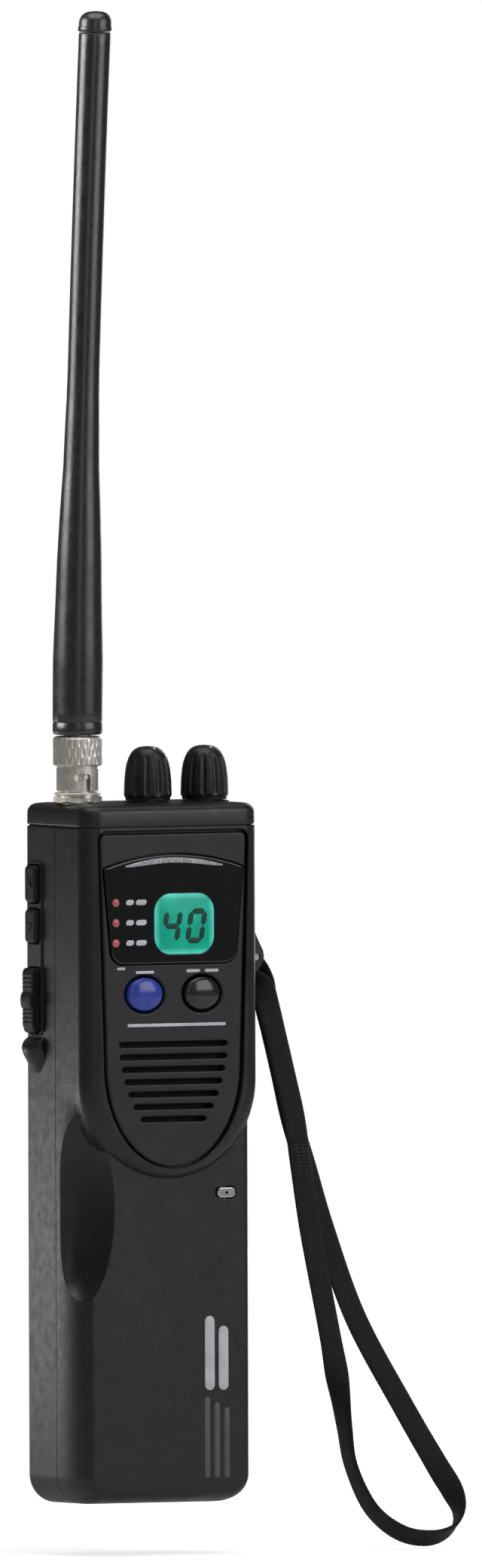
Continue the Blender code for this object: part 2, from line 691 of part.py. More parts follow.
def whip():
    centre = (ANTENNA_X, ROW_Y, 0)
    outer = [(6.6, SHEATH_BASE_Z), *[(r, z) for z, r in SHEATH_RADII]]
    bore = [(1.3, SHEATH_TOP_Z), (1.3, 302.0), (3.4, 301.0), (3.4, 236.0), (4.4, 236.0), (4.4, SHEATH_BASE_Z)]
    lean(turned("antenna_sheath", stepped(outer + bore), centre, "rubber_black"))
    core_top = SHEATH_TOP_Z - GAP
    core = [(0.9, 230.6), (0.9, core_top), (0, core_top), (0, 230.6)]
    lean(turned("antenna_core", stepped(core), centre, "steel", segments=10))
    top = ANTENNA_TOP_Z
    tip = [(4.9, top - 6.1), (5.0, top - 3.6), (4.5, top - 1.7), (2.8, top - 0.4), (0, top), (0, top - 6.1)]
    lean(turned("antenna_cap", tip, centre, "rubber_black"))


# ---------------------------------------------------------------- side keys


def side_keys():
    y0, y1 = KEYS_Y
    bar = [(-32.0, 140.2), (-31.2, 139.4), (-25.6, 139.4), (-25.6, 142.6), (-27.7, 142.6), (-27.7, 158.6),
           (-31.4, 158.6), (-32.4, 157.6), (-32.4, 151.4), (-33.2, 150.4), (-33.2, 147.6), (-32.4, 146.6)]
    ptt = stacked("ptt_button", bar, [(y0, -0.3), (y0 + 0.5, 0), (y1 - 0.5, 0), (y1, -0.3)], "rubber_black")
    cut(ptt, around(PTT_PIVOT, 1.0, 5, 15, "ptt_bore"))
    pin = ((0.8, 5.2), (0.8, 15.2), (0, 15.2), (0, 5.2))
    turned("ptt_pin", pin, (PTT_PIVOT[0], 0, PTT_PIVOT[1]), "steel", "y", 16)
    box("ptt_switch", (-26.2, 8.5, 151), (-24.5, 12.0, 156), "steel")
    for name, (z0, z1) in (("channel_up_button", CHANNEL_UP_Z), ("channel_down_button", CHANNEL_DOWN_Z)):
        outline = rounded((y0, z0), (y1, z1), (1.2,) * 4)
        stacked(name, outline, [(-31.3, -0.7), (-30.9, 0), (-27.6, 0)], "rubber_black", axis="x")
    board = box("side_board", (-24.2, 4.6, 137), (-23.2, 15.2, 192), "board_green")
    for z0 in (169.5, 182.0):
        join(board, box(f"tact_{z0:.0f}", (-26.0, 9.0, z0), (-24.0, 11.5, z0 + 3)))


# ---------------------------------------------------------------- inside and back


def insides():
    board = box("main_board", (-26, 0, 70), (26, 1.6, 186), "board_green")
    for place in list(SCREWS.values())[:2]:
        cut(board, around(place, 3.2, -2, 4, f"board_hole_{place[0]:.0f}"))
    profile = ((2.9, 20.0), (2.9, 27.9), (1.7, 27.9), (1.7, 21.0), (0, 21.0), (0, 20.0))
    turned("accessory_socket", profile, (0, SOCKET_Y, SOCKET_Z), "nickel", "x", 20)
    low = (SOCKET_Y - COVER_SIZE[0] / 2, SOCKET_Z - COVER_SIZE[1] / 2)
    high = (SOCKET_Y + COVER_SIZE[0] / 2, SOCKET_Z + COVER_SIZE[1] / 2)
    layers = [(28.5, 0), (29.5, 0), (29.9, -0.5)]
    stacked("jack_cover", rounded(low, high, (1.5,) * 4), layers, "rubber_black", axis="x")


def battery():
    half = CELL_LENGTH / 2
    number = 1
    for y in CELL_ROWS_Y:
        for level in range(CELL_LEVELS):
            way = 1 if level % 2 else -1
            shoulder = half - 1.5
            outer = ((CELL_R, -half), (CELL_R, shoulder), (2.6, shoulder), (2.6, half), (0, half), (0, -half))
            profile = tuple((r, way * x) for r, x in outer)
            centre = (0, y, CELL_LOW_Z + level * CELL_PITCH)
            turned(f"battery_cell_{number}", profile, centre, "cell_wrap", "x", 20)
            number += 1
    for name, side in (("contact_strip_left", -1), ("contact_strip_right", 1)):
        ends = sorted((side * (half + GAP), side * (half + 1.0)))
        box(name, (ends[0], -13.0, 7), (ends[1], 12.5, 57), "brass")


def screws():
    profile = ((2.7, BACK_Y - 0.2), (2.7, BACK_Y - 1.1), (1.3, BACK_Y - 1.1), (1.3, 5.0), (0, 5.0),
               (0, BACK_Y - 0.8), (1.2, BACK_Y - 0.8), (1.2, BACK_Y - 0.2))
    for name, (x, z) in SCREWS.items():
        turned(name, profile, (x, 0, z), "steel", "y", 16)


def belt_clip():
    inner = [(21.9, 192.0), (21.9, 116.0), (19.1, 107.0), (19.1, 105.0), (21.4, CLIP_LOW_Z)]
    outer = [(23.2, CLIP_LOW_Z + 1), (21.3, 106.0), (23.9, 115.5), (23.9, 192.0)]
    layers = [(-8.0, 0), (8.0, 0)]
    clip = stacked("belt_clip", inner + outer, layers, "steel", axis="x")
    for side in (-1, 1):
        ends = sorted((side * 5.2, side * 9.0))
        join(clip, crosswise(f"knuckle_{side}", 2.6, *ends, CLIP_PIVOT_Y, CLIP_PIVOT_Z))
    cut(clip, box("clip_window", (-4.9, 15, 176), (4.9, 30, 186)))
    cut(clip, crosswise("clip_bore", 1.3, -12, 12, CLIP_PIVOT_Y, CLIP_PIVOT_Z))
    crosswise("clip_pin", 1.1, -11.3, 11.3, CLIP_PIVOT_Y, CLIP_PIVOT_Z, "steel")


# ---------------------------------------------------------------- wrist strap


def smooth(stations, per_span):
    """Catmull-Rom points through a closed loop of stations of any dimension."""
    out = []
    count = len(stations)
    for i in range(count):
        p0, p1, p2, p3 = (stations[(i + k) % count] for k in (-1, 0, 1, 2))
        for j in range(per_span):
            t = j / per_span
            out.append([
                0.5 * (2 * b + (c - a) * t + (2 * a - 5 * b + 4 * c - d) * t**2
                       + (3 * b - a - 3 * c + d) * t**3)
                for a, b, c, d in zip(p0, p1, p2, p3)
            ])
    return out


def strap_stations():
    """(x, z, y, twist) round the webbing's loop, down one strand and up the other.

    Twist 0 has the webbing's width along Y, and 90 turns its broad side to the front.
    """
    y = (LUG_SLOT_Y[0] + LUG_SLOT_Y[1]) / 2
    shared = ((35.3, 157.3, -10, 2.0), (37.3, 152.8, -52, 1.6), (38.8, 146.5, -80, 1.1),
              (40.8, 139.0, -90, 1.0), (44.0, 126.5, -90, 1.0), (47.3, 113.0, -90, 1.0))
    down = []
    up = []
    for x, z, twist, apart in shared:
        turn = radians(twist)
        across, depth = apart * cos(turn), apart * sin(turn)
        dx, dz = (share * across for share in STRAND_ACROSS)
        down.append((x - dx, z - dz, y + depth, twist))
        up.append((x + dx, z + dz, y - depth, -twist))
    loop = [(BAR_X + STRAP_LOOP_R * cos(radians(a)), BAR_Z + STRAP_LOOP_R * sin(radians(a)), y, 0)
            for a in (20, 90, 160, 200)]
    low = [(49.4, 99.0, y - 1.0, -90), (52.7, 79, y - 0.9, -90), (58.4, 53, y - 0.4, -90),
           (60.8, 42, y, -80), (62.8, 31, y, -32), (64.3, 21, y, -12), (66.5, 9.5, y, -6),
           (73.1, -3.0, y, -16), (82.8, -10.3, y, -33), (92.8, -12.2, y, -42), (99.9, -10.0, y, -30),
           (102.4, -5.0, y, 0), (100.4, 1.6, y, 48), (95.0, 9.8, y, 80), (84.3, 26.5, y, 90),
           (68.6, 53, y + 0.4, 90), (58.4, 79, y + 0.9, 90), (51.9, 99.0, y + 1.0, 90)]
    return [*loop, *down, *low, *reversed(up)]


def wrist_strap():
    path = smooth(strap_stations(), 2)
    rings = []
    for i, (x, z, y, twist) in enumerate(path):
        before, after = path[i - 1], path[(i + 1) % len(path)]
        along = Vector((after[0] - before[0], after[2] - before[2], after[1] - before[1])).normalized()
        side = Vector((0, 1, 0))
        inward = along.cross(side).normalized()
        side = inward.cross(along).normalized()
        turn = radians(twist)
        wide = side * cos(turn) + inward * sin(turn)
        thick = along.cross(wide).normalized()
        ring = []
        for a, b in ((-1, -1), (1, -1), (1, 1), (-1, 1)):
            spot = Vector((x, y, z)) + wide * (a * STRAP_WIDTH / 2) + thick * (b * STRAP_THICK / 2)
            ring.append(tuple(spot))
        rings.append(ring)
    lofted("wrist_strap", rings, "webbing_black", closed=True)
    bar = ((BAR_R, -12.4), (BAR_R, -2.5), (0, -2.5), (0, -12.4))
    turned("strap_bar", bar, (BAR_X, 0, BAR_Z), "steel", "y", 16)


def build():
    clear_scene()
    front_shell()
    rear_shell()
    top_cap()
    battery_door()
    face_panel()
    display()
    keys()
    speaker()
    microphone()
    control("volume", VOLUME_X)
    control("squelch", SQUELCH_X)
    jack()
    plug_and_collar()
    whip()
    side_keys()
    insides()
    battery()
    screws()
    belt_clip()
    wrist_strap()


build()
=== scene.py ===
"""Looks of the handheld two-way radio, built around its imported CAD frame.

Lengths are in millimetres and MM turns them into metres. Shapes that belong to a CAD node take
their place from that node's box.
"""

import json
from functools import partial
from math import cos, pi, radians, sin, sqrt

import bmesh
import bpy
import numpy as np
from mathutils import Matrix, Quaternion, Vector

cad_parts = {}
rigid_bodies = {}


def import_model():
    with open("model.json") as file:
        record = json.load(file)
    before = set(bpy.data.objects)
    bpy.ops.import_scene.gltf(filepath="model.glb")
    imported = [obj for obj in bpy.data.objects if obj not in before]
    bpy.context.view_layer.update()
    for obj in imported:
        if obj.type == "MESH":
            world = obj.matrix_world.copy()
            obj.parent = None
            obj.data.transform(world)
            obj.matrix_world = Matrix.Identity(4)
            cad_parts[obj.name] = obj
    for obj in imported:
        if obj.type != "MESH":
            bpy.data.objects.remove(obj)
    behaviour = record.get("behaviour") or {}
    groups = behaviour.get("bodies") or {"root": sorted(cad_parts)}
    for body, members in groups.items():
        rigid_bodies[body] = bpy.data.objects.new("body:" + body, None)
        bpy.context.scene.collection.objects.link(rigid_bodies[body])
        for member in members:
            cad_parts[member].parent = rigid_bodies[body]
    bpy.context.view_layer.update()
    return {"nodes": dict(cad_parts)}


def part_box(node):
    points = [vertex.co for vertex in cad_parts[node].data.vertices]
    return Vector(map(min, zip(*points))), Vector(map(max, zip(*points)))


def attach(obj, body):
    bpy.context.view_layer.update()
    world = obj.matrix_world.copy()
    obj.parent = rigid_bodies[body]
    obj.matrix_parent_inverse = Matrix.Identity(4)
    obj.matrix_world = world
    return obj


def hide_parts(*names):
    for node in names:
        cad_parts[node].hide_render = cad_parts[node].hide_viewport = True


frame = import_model()

MM = 0.001


# ---- node materials


class Shader:
    """A Principled material whose inputs are fed by small procedural networks."""

    def __init__(self, name):
        self.material = bpy.data.materials.new(name)
        self.material.use_nodes = True
        self.tree = self.material.node_tree
        self.bsdf = self.tree.nodes["Principled BSDF"]
        self.place = self.node("ShaderNodeTexCoord").outputs["Object"]

    def node(self, kind, inputs=None, **settings):
        """A new node with its settings and inputs."""
        made = self.tree.nodes.new(kind)
        for key, value in settings.items():
            setattr(made, key, value)
        for key, value in (inputs or {}).items():
            self.feed(made.inputs[key], value)
        return made

    def feed(self, socket, value):
        """Gives an input a plain value, or links it to another node's output."""
        if isinstance(value, bpy.types.NodeSocket):
            self.tree.links.new(value, socket)
        elif socket.type == "RGBA":
            socket.default_value = (*value, 1)
        else:
            socket.default_value = value

    def set(self, **inputs):
        """Feeds the Principled shader's own inputs."""
        for key, value in inputs.items():
            self.feed(self.bsdf.inputs[key.replace("_", " ")], value)

    def noise(self, size_mm, detail=3.0, roughness=0.55, stretch=(1, 1, 1)):
        scaled = self.node("ShaderNodeMapping", {"Scale": stretch, "Vector": self.place})
        inputs = {"Scale": 1.0 / (size_mm * MM), "Detail": detail, "Roughness": roughness,
                  "Vector": scaled.outputs["Vector"]}
        return self.node("ShaderNodeTexNoise", inputs).outputs["Fac"]

    def cells(self, size_mm):
        inputs = {"Scale": 1.0 / (size_mm * MM), "Vector": self.place}
        return self.node("ShaderNodeTexVoronoi", inputs, feature="SMOOTH_F1").outputs["Distance"]

    def span(self, source, low, high, start=0.3, end=0.7):
        """A source that runs from start to end, remapped to run from low to high."""
        inputs = {"Value": source, "From Min": start, "From Max": end, "To Min": low, "To Max": high}
        return self.node("ShaderNodeMapRange", inputs).outputs["Result"]

    def maths(self, operation, a, b=0):
        return self.node("ShaderNodeMath", {0: a, 1: b}, operation=operation).outputs["Value"]

    def vector_maths(self, operation, inputs, output="Vector"):
        return self.node("ShaderNodeVectorMath", inputs, operation=operation).outputs[output]

    def mix(self, factor, below, above, **settings):
        """Two colours, or sources of colour, mixed by a 0..1 factor."""
        inputs = {"Factor": factor, "A": below, "B": above}
        return self.node("ShaderNodeMix", inputs, data_type="RGBA", **settings).outputs["Result"]

    def bump(self, *layers):
        """Bump from (height, depth in mm) layers, one on top of another."""
        inputs = {}
        for height, depth_mm in layers:
            inputs.update({"Height": height, "Distance": depth_mm * MM})
            inputs["Normal"] = self.node("ShaderNodeBump", inputs).outputs["Normal"]
        self.set(Normal=inputs["Normal"])

    def edges(self):
        """1 on worn convex edges, 0 on flats."""
        return self.span(self.node("ShaderNodeNewGeometry").outputs["Pointiness"], 0.0, 1.0, 0.515, 0.56)


def shade(colour, factor, lift=0.0):
    """A colour made darker or paler."""
    return tuple(min(1.0, c * factor + lift) for c in colour)


def moulded(name, colour, roughness, grain=0.0, grain_mm=0.45, wear=0.25, **inputs):
    """Moulded plastic or rubber: faint mottling, polish that varies, a fine grain, pale worn edges."""
    s = Shader(name)
    base = s.mix(s.span(s.noise(9.0, 4.0), 0.0, 1.0), shade(colour, 0.82), shade(colour, 1.2, 0.002))
    scuff = s.maths("MULTIPLY", s.edges(), s.span(s.noise(1.6), 0.0, wear, 0.35, 0.75))
    s.set(Base_Color=s.mix(scuff, base, shade(colour, 1.6, 0.03)),
          Roughness=s.span(s.noise(3.0, 5.0), roughness - 0.06, roughness + 0.06), **inputs)
    layers = [(s.noise(14.0, 2.0), 0.12)]
    if grain:
        layers += [(s.cells(grain_mm), grain), (s.noise(grain_mm * 0.6, 2.0), grain * 0.6)]
    s.bump(*layers)
    return s.material


def metal(name, colour, roughness, brushed=(1, 1, 1), metallic=1.0):
    """Bare or plated metal with fine brushing and faint tarnish."""
    s = Shader(name)
    spots = s.span(s.noise(2.4, 5.0), 0.0, 1.0, 0.35, 0.7)
    streaks = s.noise(0.5, 4.0, 0.6, brushed)
    s.set(Metallic=metallic, Base_Color=s.mix(spots, shade(colour, 0.78), colour),
          Roughness=s.span(streaks, roughness - 0.07, roughness + 0.1))
    s.bump((streaks, 0.012))
    return s.material


def glossy(name, colour, roughness=0.05, coat=0.6):
    """Polished plastic with a clear coat, a trace of waviness and faint fingerprints."""
    s = Shader(name)
    cloud = s.span(s.noise(5.0, 5.0), 0.0, 1.0, 0.4, 0.75)
    s.set(Coat_Weight=coat, Coat_Roughness=0.03, Base_Color=s.mix(cloud, colour, shade(colour, 1.25, 0.001)),
          Roughness=s.span(s.noise(4.0, 6.0), roughness, roughness + 0.08, 0.45, 0.8))
    s.bump((s.noise(20.0, 1.0), 0.05))
    return s.material


def lit_panel(name, edge_colour, middle_colour, strength, centre, size):
    """A backlit display, cloudy and brighter at its rim."""
    s = Shader(name)
    offset = s.vector_maths("SUBTRACT", {0: s.place, 1: centre})
    parts = s.node("ShaderNodeSeparateXYZ", {"Vector": offset}).outputs
    across, up = (s.maths("ABSOLUTE", s.maths("DIVIDE", parts[letter], length / 2))
                  for letter, length in zip("XZ", size))
    rim = s.span(s.maths("MAXIMUM", across, up), 0.0, 1.0, 0.80, 0.96)
    cloudy = s.span(s.noise(6.0, 2.0), 0.75, 1.0)
    light = s.mix(1.0, s.mix(rim, middle_colour, edge_colour), cloudy, blend_type="MULTIPLY")
    s.set(Base_Color=light, Emission_Color=light, Emission_Strength=strength, Roughness=0.25,
          Specular_IOR_Level=0.25)
    return s.material


def webbing_weave():
    """Black woven nylon: ribs come from the mesh, this adds yarn texture and sheen."""
    s = Shader("webbing_weave")
    yarn = s.noise(0.35, 3.0, 0.6, (1, 1, 2.2))
    s.set(Base_Color=s.mix(s.span(yarn, 0, 1), (0.003, 0.003, 0.0035), (0.020, 0.020, 0.023)),
          Roughness=s.span(s.noise(2.0), 0.55, 0.75), Specular_IOR_Level=0.25,
          Sheen_Weight=0.15, Sheen_Roughness=0.4)
    s.bump((yarn, 0.12), (s.noise(0.12, 2.0), 0.04))
    return s.material


def circuit_board():
    """Green solder mask with a faint pattern of tracks and pads."""
    s = Shader("circuit_board")
    bricks = s.node("ShaderNodeTexBrick", {
        "Scale": 1.0 / (6 * MM), "Color1": (0.012, 0.10, 0.035), "Color2": (0.02, 0.14, 0.05),
        "Mortar": (0.05, 0.24, 0.08), "Vector": s.place})
    s.set(Base_Color=bricks.outputs["Color"], Roughness=s.span(s.noise(2.0), 0.22, 0.4))
    s.bump((bricks.outputs["Fac"], 0.05))
    return s.material


# ---- mesh building


def add_object(name, mesh):
    obj = bpy.data.objects.new(name, mesh)
    bpy.context.scene.collection.objects.link(obj)
    return obj


def piece(name, points, faces, material, sharp=35):
    """A mesh object from points in millimetres, smooth apart from its sharp edges."""
    mesh = bpy.data.meshes.new(name)
    mesh.from_pydata([tuple(c * MM for c in p) for p in points], [], faces)
    shaped = bmesh.new()
    shaped.from_mesh(mesh)
    bmesh.ops.recalc_face_normals(shaped, faces=shaped.faces)
    shaped.to_mesh(mesh)
    shaped.free()
    mesh.shade_smooth()
    mesh.set_sharp_from_angle(angle=radians(sharp))
    if material:
        mesh.materials.append(material)
    return add_object(name, mesh)


def lofted(name, rings, material=None, closed=False, **options):
    """A skin through rings of equal point counts, capped at both ends unless the rings close."""
    count = len(rings[0])
    points = [p for ring in rings for p in ring]
    faces = []
    for i in range(len(rings) if closed else len(rings) - 1):
        start = i * count
        after = (i + 1) % len(rings) * count
        for j in range(count):
            k = (j + 1) % count
            faces.append((start + j, start + k, after + k, after + j))
    if not closed:
        faces.append(tuple(range(count)))
        faces.append(tuple(range(len(points) - count, len(points))))
    return piece(name, points, faces, material, **options)


def turned(name, profile, centre, axis="z", material=None, segments=64, ripple=None):
    """A closed (radius, place) profile turned round the axis that runs through a centre.

    Radius 0 lies on the axis; a place is measured along it from the frame's origin.
    """
    x, y, z = centre
    points = []
    rows = []
    for radius, place in profile:
        row = []
        for i in range(segments if radius > 0 else 1):
            angle = 2 * pi * i / segments
            r = ripple(angle, radius, place) if ripple and radius > 0 else radius
            a, b = r * cos(angle), r * sin(angle)
            row.append(len(points))
            points.append({"x": (place, y + a, z + b), "y": (x + a, place, z + b),
                           "z": (x + a, y + b, place)}[axis])
        rows.append(row)
    faces = []
    for i, row in enumerate(rows):
        after = rows[(i + 1) % len(rows)]
        for j in range(segments):
            k = (j + 1) % segments
            corners = [row[j % len(row)], row[k % len(row)], after[k % len(after)], after[j % len(after)]]
            corners = list(dict.fromkeys(corners))
            if len(corners) > 2:
                faces.append(tuple(corners))
    return piece(name, points, faces, material)


def rod(name, radius, ends, centre, axis, segments=64):
    """A plain cylinder between two places on an axis."""
    start, end = sorted(ends)
    profile = ((radius, start), (radius, end), (0, end), (0, start))
    return turned(name, profile, centre, axis, segments=segments)


def arc(centre, radius, start, end, steps):
    """Points on a circle or, with two radii, on an ellipse; the angles are in degrees."""
    rx, rz = radius if isinstance(radius, tuple) else (radius, radius)
    angles = (radians(start + (end - start) * i / steps) for i in range(steps + 1))
    return [(centre[0] + rx * cos(a), centre[1] + rz * sin(a)) for a in angles]


def rounded(low, high, radius, steps=6):
    """A rectangle, anticlockwise from its lower left; radius may differ for each corner."""
    radii = radius if isinstance(radius, tuple) else (radius,) * 4
    (x0, z0), (x1, z1) = low, high
    places = ((x0, z0, 1, 1, 180), (x1, z0, -1, 1, 270), (x1, z1, -1, -1, 0), (x0, z1, 1, -1, 90))
    outline = []
    for (x, z, side, up, start), r in zip(places, radii):
        if r:
            outline += arc((x + side * r, z + up * r), r, start, start + 90, steps)
        else:
            outline.append((x, z))
    return outline


def grown(outline, by):
    """An anticlockwise outline moved outwards by a distance, or inwards if it is negative."""
    if not by:
        return outline
    moved = []
    for i, here in enumerate(outline):
        before = (Vector(here) - Vector(outline[i - 1])).normalized()
        after = (Vector(outline[(i + 1) % len(outline)]) - Vector(here)).normalized()
        across = Vector((before.y + after.y, -before.x - after.x)).normalized()
        share = max(0.5, across.dot(Vector((after.y, -after.x))))
        moved.append((here[0] + across.x * by / share, here[1] + across.y * by / share))
    return moved


def stacked(name, outline, layers, material=None, axis="y"):
    """An outline lofted along an axis through (place, growth) layers."""
    rings = []
    for place, growth in layers:
        order = {"x": lambda a, b: (place, a, b), "y": lambda a, b: (a, place, b),
                 "z": lambda a, b: (a, b, place)}[axis]
        rings.append([order(a, b) for a, b in grown(outline, growth)])
    return lofted(name, rings, material)


def eased(start, run, growth, steps):
    """Layers round a quarter ellipse: the growth fades to nothing over the run."""
    angles = (pi / 2 * i / steps for i in range(steps + 1))
    return [(start + run * (1 - cos(a)), growth * (1 - sin(a))) for a in angles]


def fillet(start, end, radius, steps=5, deep=None):
    """Layers from start to end whose first edge is rounded, by a radius across and another in depth."""
    way = 1 if end > start else -1
    return [*eased(start, way * (deep or radius), -radius, steps), (end, 0.0)]


def pillow(start, end, front, back, steps=5):
    """Layers from start to end with both edges rounded, by two radii."""
    first, last = (fillet(edge, (start + end) / 2, radius, steps)[:-1]
                   for edge, radius in ((start, front), (end, back)))
    return first + last[::-1]


def flared(mouth, depth, radius, steps=4):
    """Layers for a cutter that rounds over the mouth of the hole it makes.

    mouth is the surface's place and depth the hole's floor; the cutter starts outside the mouth.
    """
    way = 1 if depth > mouth else -1
    return [(mouth - way * 3.0, radius), *eased(mouth, way * radius, radius, steps), (depth, 0.0)]


def block(name, low, high):
    (x0, y0, z0), (x1, y1, z1) = low, high
    return stacked(name, [(x0, y0), (x1, y0), (x1, y1), (x0, y1)], [(z0, 0), (z1, 0)], axis="z")


def even_normals(obj):
    """Keeps flat faces flat next to their rounded edges."""
    modifier = obj.modifiers.new("even", "WEIGHTED_NORMAL")
    modifier.keep_sharp = True
    modifier.weight = 80


def apply_modifiers(obj):
    """Replaces the mesh with what its modifiers make, and removes them."""
    bpy.context.view_layer.update()
    made = bpy.data.meshes.new_from_object(obj.evaluated_get(bpy.context.evaluated_depsgraph_get()))
    obj.modifiers.clear()
    obj.data = made


def combine(operation, obj, *tools):
    """Cuts, joins or keeps the object by the tools, which are used up."""
    for tool in tools:
        modifier = obj.modifiers.new(tool.name, "BOOLEAN")
        modifier.operation = operation
        modifier.object = tool
        modifier.solver = "MANIFOLD"
    apply_modifiers(obj)
    for tool in tools:
        bpy.data.objects.remove(tool, do_unlink=True)
    finish = obj.data.materials[0] if obj.data.materials else None
    obj.data.materials.clear()
    if finish:
        obj.data.materials.append(finish)
    obj.data.polygons.foreach_set("material_index", np.zeros(len(obj.data.polygons), np.int32))
    obj.data.shade_smooth()
    obj.data.set_sharp_from_angle(angle=radians(32))


cut, join, keep = (partial(combine, operation) for operation in ("DIFFERENCE", "UNION", "INTERSECT"))


def stand_for(obj, body, slot, *nodes):
    """The piece moves with a body and may stand for CAD nodes; slot is not used."""
    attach(obj, body)
    if nodes:
        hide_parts(*nodes)


def carved_for(obj, body, slot, *nodes):
    """stand_for, for a piece that was cut or joined."""
    even_normals(obj)
    stand_for(obj, body, slot, *nodes)


# ---- sizes read from the frame


def size_of(node):
    """A CAD node's lowest and highest corners in millimetres."""
    low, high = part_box(node)
    return low / MM, high / MM


def middle_of(node):
    low, high = size_of(node)
    return (low + high) / 2


# SEAM is half the gap between the shells, which are hollow above HOLLOW_Z and behind HOLLOW_Y.
GAP = 0.3
WALL = 2.2
SHIELD_Y, SHELL_TOP = size_of("front_shell")[0].y, size_of("front_shell")[1].z
HALF, CAP_TOP = size_of("top_cap")[1].x, size_of("top_cap")[1].z
FRONT_Y = SHIELD_Y + 3.5
SPLIT_Y = -2.0
SEAM = 0.15
HOLLOW_Z = 2.5
HOLLOW_Y = -14.5
CASE_CORNER = 8.5
HOLLOW_CORNER = 3.6
BACK_EDGE = 4.0
PANEL_LOW, PANEL_HIGH = size_of("face_panel")
WINDOW_LOW, WINDOW_HIGH = size_of("display_window")
LCD_LOW, LCD_HIGH = size_of("lcd_panel")
LCD_CENTRE = middle_of("lcd_panel")
DOOR_LOW, DOOR_HIGH = size_of("battery_door")
BACK_Y = DOOR_HIGH.y
DISH_Z = DOOR_HIGH.z - 14
SHIELD_CENTRE_Z = 125.5
PANEL_SIDE_Z = 130.0
RIM_ROUND = 6.2
RECESS_Y = PANEL_HIGH.y + GAP
FACE_KEYS = ("call_button", "mode_button")
SIDE_KEYS = ("ptt_button", "channel_up_button", "channel_down_button")
SCREWS = [f"case_screw_{i}" for i in range(1, 5)]


def node_outline(node, radius, steps=6, room=0.0, along="y"):
    """A node's box seen along an axis, with some room round it, as a rounded rectangle."""
    low, high = size_of(node)
    across = "x" if along == "y" else "y"
    return rounded((getattr(low, across) - room, low.z - room), (getattr(high, across) + room, high.z + room),
                   radius, steps)


def case_outline():
    """The case from the front, with round lower corners, taller than the shells."""
    return rounded((-HALF, 0.0), (HALF, SHELL_TOP + 6), (CASE_CORNER, CASE_CORNER, 0, 0), 12)


def shield_outline():
    """The raised upper block: straight sides and a round lower end, taller than the shells."""
    top = SHELL_TOP + 5
    return [*arc((0, SHIELD_CENTRE_Z), HALF, 180, 360, 72), (HALF, top), (-HALF, top)]


def panel_outline():
    """The face panel: its sides come in a little on the way down to a half ellipse."""
    low_half = PANEL_HIGH.x - 2.0
    lower = arc((0, PANEL_SIDE_Z), (low_half, PANEL_SIDE_Z - PANEL_LOW.z), 180, 360, 72)
    top = arc((PANEL_HIGH.x - 2, PANEL_HIGH.z - 2), 2, 0, 90, 8)
    return [*lower, *top, *[(-x, z) for x, z in reversed(top)]]


def window_outline():
    """The display window: an arched top, sides that come in, and round lower corners."""
    low_half, corner = WINDOW_HIGH.x - 2.4, 4.0
    low = arc((-low_half + corner, WINDOW_LOW.z + corner), corner, 188, 270, 12)
    shares = [1 - i / 16 for i in range(33)]
    top = [(WINDOW_HIGH.x * share, WINDOW_HIGH.z - 4.0 * share**2) for share in shares]
    return [*low, *[(-x, z) for x, z in reversed(low)], *top]


def lcd_outline():
    return node_outline("lcd_panel", 5.5, 12)


def key_outline(node):
    centre = middle_of(node)
    half = size_of(node)[1] - centre
    return arc((centre.x, centre.z), (half.x, half.z), 0, 355, 71)


def slot_outline(index):
    """One grille slot; the slots follow the panel's outline as it narrows."""
    drop = index * 3.7
    half = min(17.3, 17.6 * sqrt(1 - ((drop + 4.0) / 32.0) ** 2))
    z = PANEL_SIDE_Z + 6.4 - drop
    return [*arc((-half, z), 0.75, 90, 270, 8), *arc((half, z), 0.75, 270, 450, 8)]


def grille_outline():
    """The opening behind the grille slots."""
    return rounded((-18.7, 112.2), (18.7, 138.3), (9.0, 9.0, 3.0, 3.0), 8)


def mic_outline():
    low, high = size_of("mic_trim")
    return node_outline("mic_trim", (high.z - low.z) / 2 - 0.01, 12)


def plan_form(name, front, back, front_r, back_r):
    """The case seen from above, as a column rounded at its top edge."""
    plan = rounded((-HALF, front), (HALF, back), (front_r, front_r, back_r, back_r), 10)
    return stacked(name, plan, fillet(SHELL_TOP, -5, 0.5)[::-1], axis="z")


# ---- case


def scoop(name, grow):
    """The hollow in the lower left front corner, or with growth the wall behind it."""
    mesh = bpy.data.meshes.new(name)
    ball = bmesh.new()
    bmesh.ops.create_uvsphere(ball, u_segments=72, v_segments=48, radius=1.0)
    centre = (-HALF - 1.5, FRONT_Y - 2.25, 88.0)
    radii = (12.8 + grow, 16.0 + grow, 29.5 + grow)
    for vertex in ball.verts:
        if vertex.co.y > 0:
            vertex.co.y *= sqrt(1 + vertex.co.z**2)
        vertex.co = Vector([(c + v * r) * MM for c, v, r in zip(centre, vertex.co, radii)])
    ball.to_mesh(mesh)
    ball.free()
    return add_object(name, mesh)


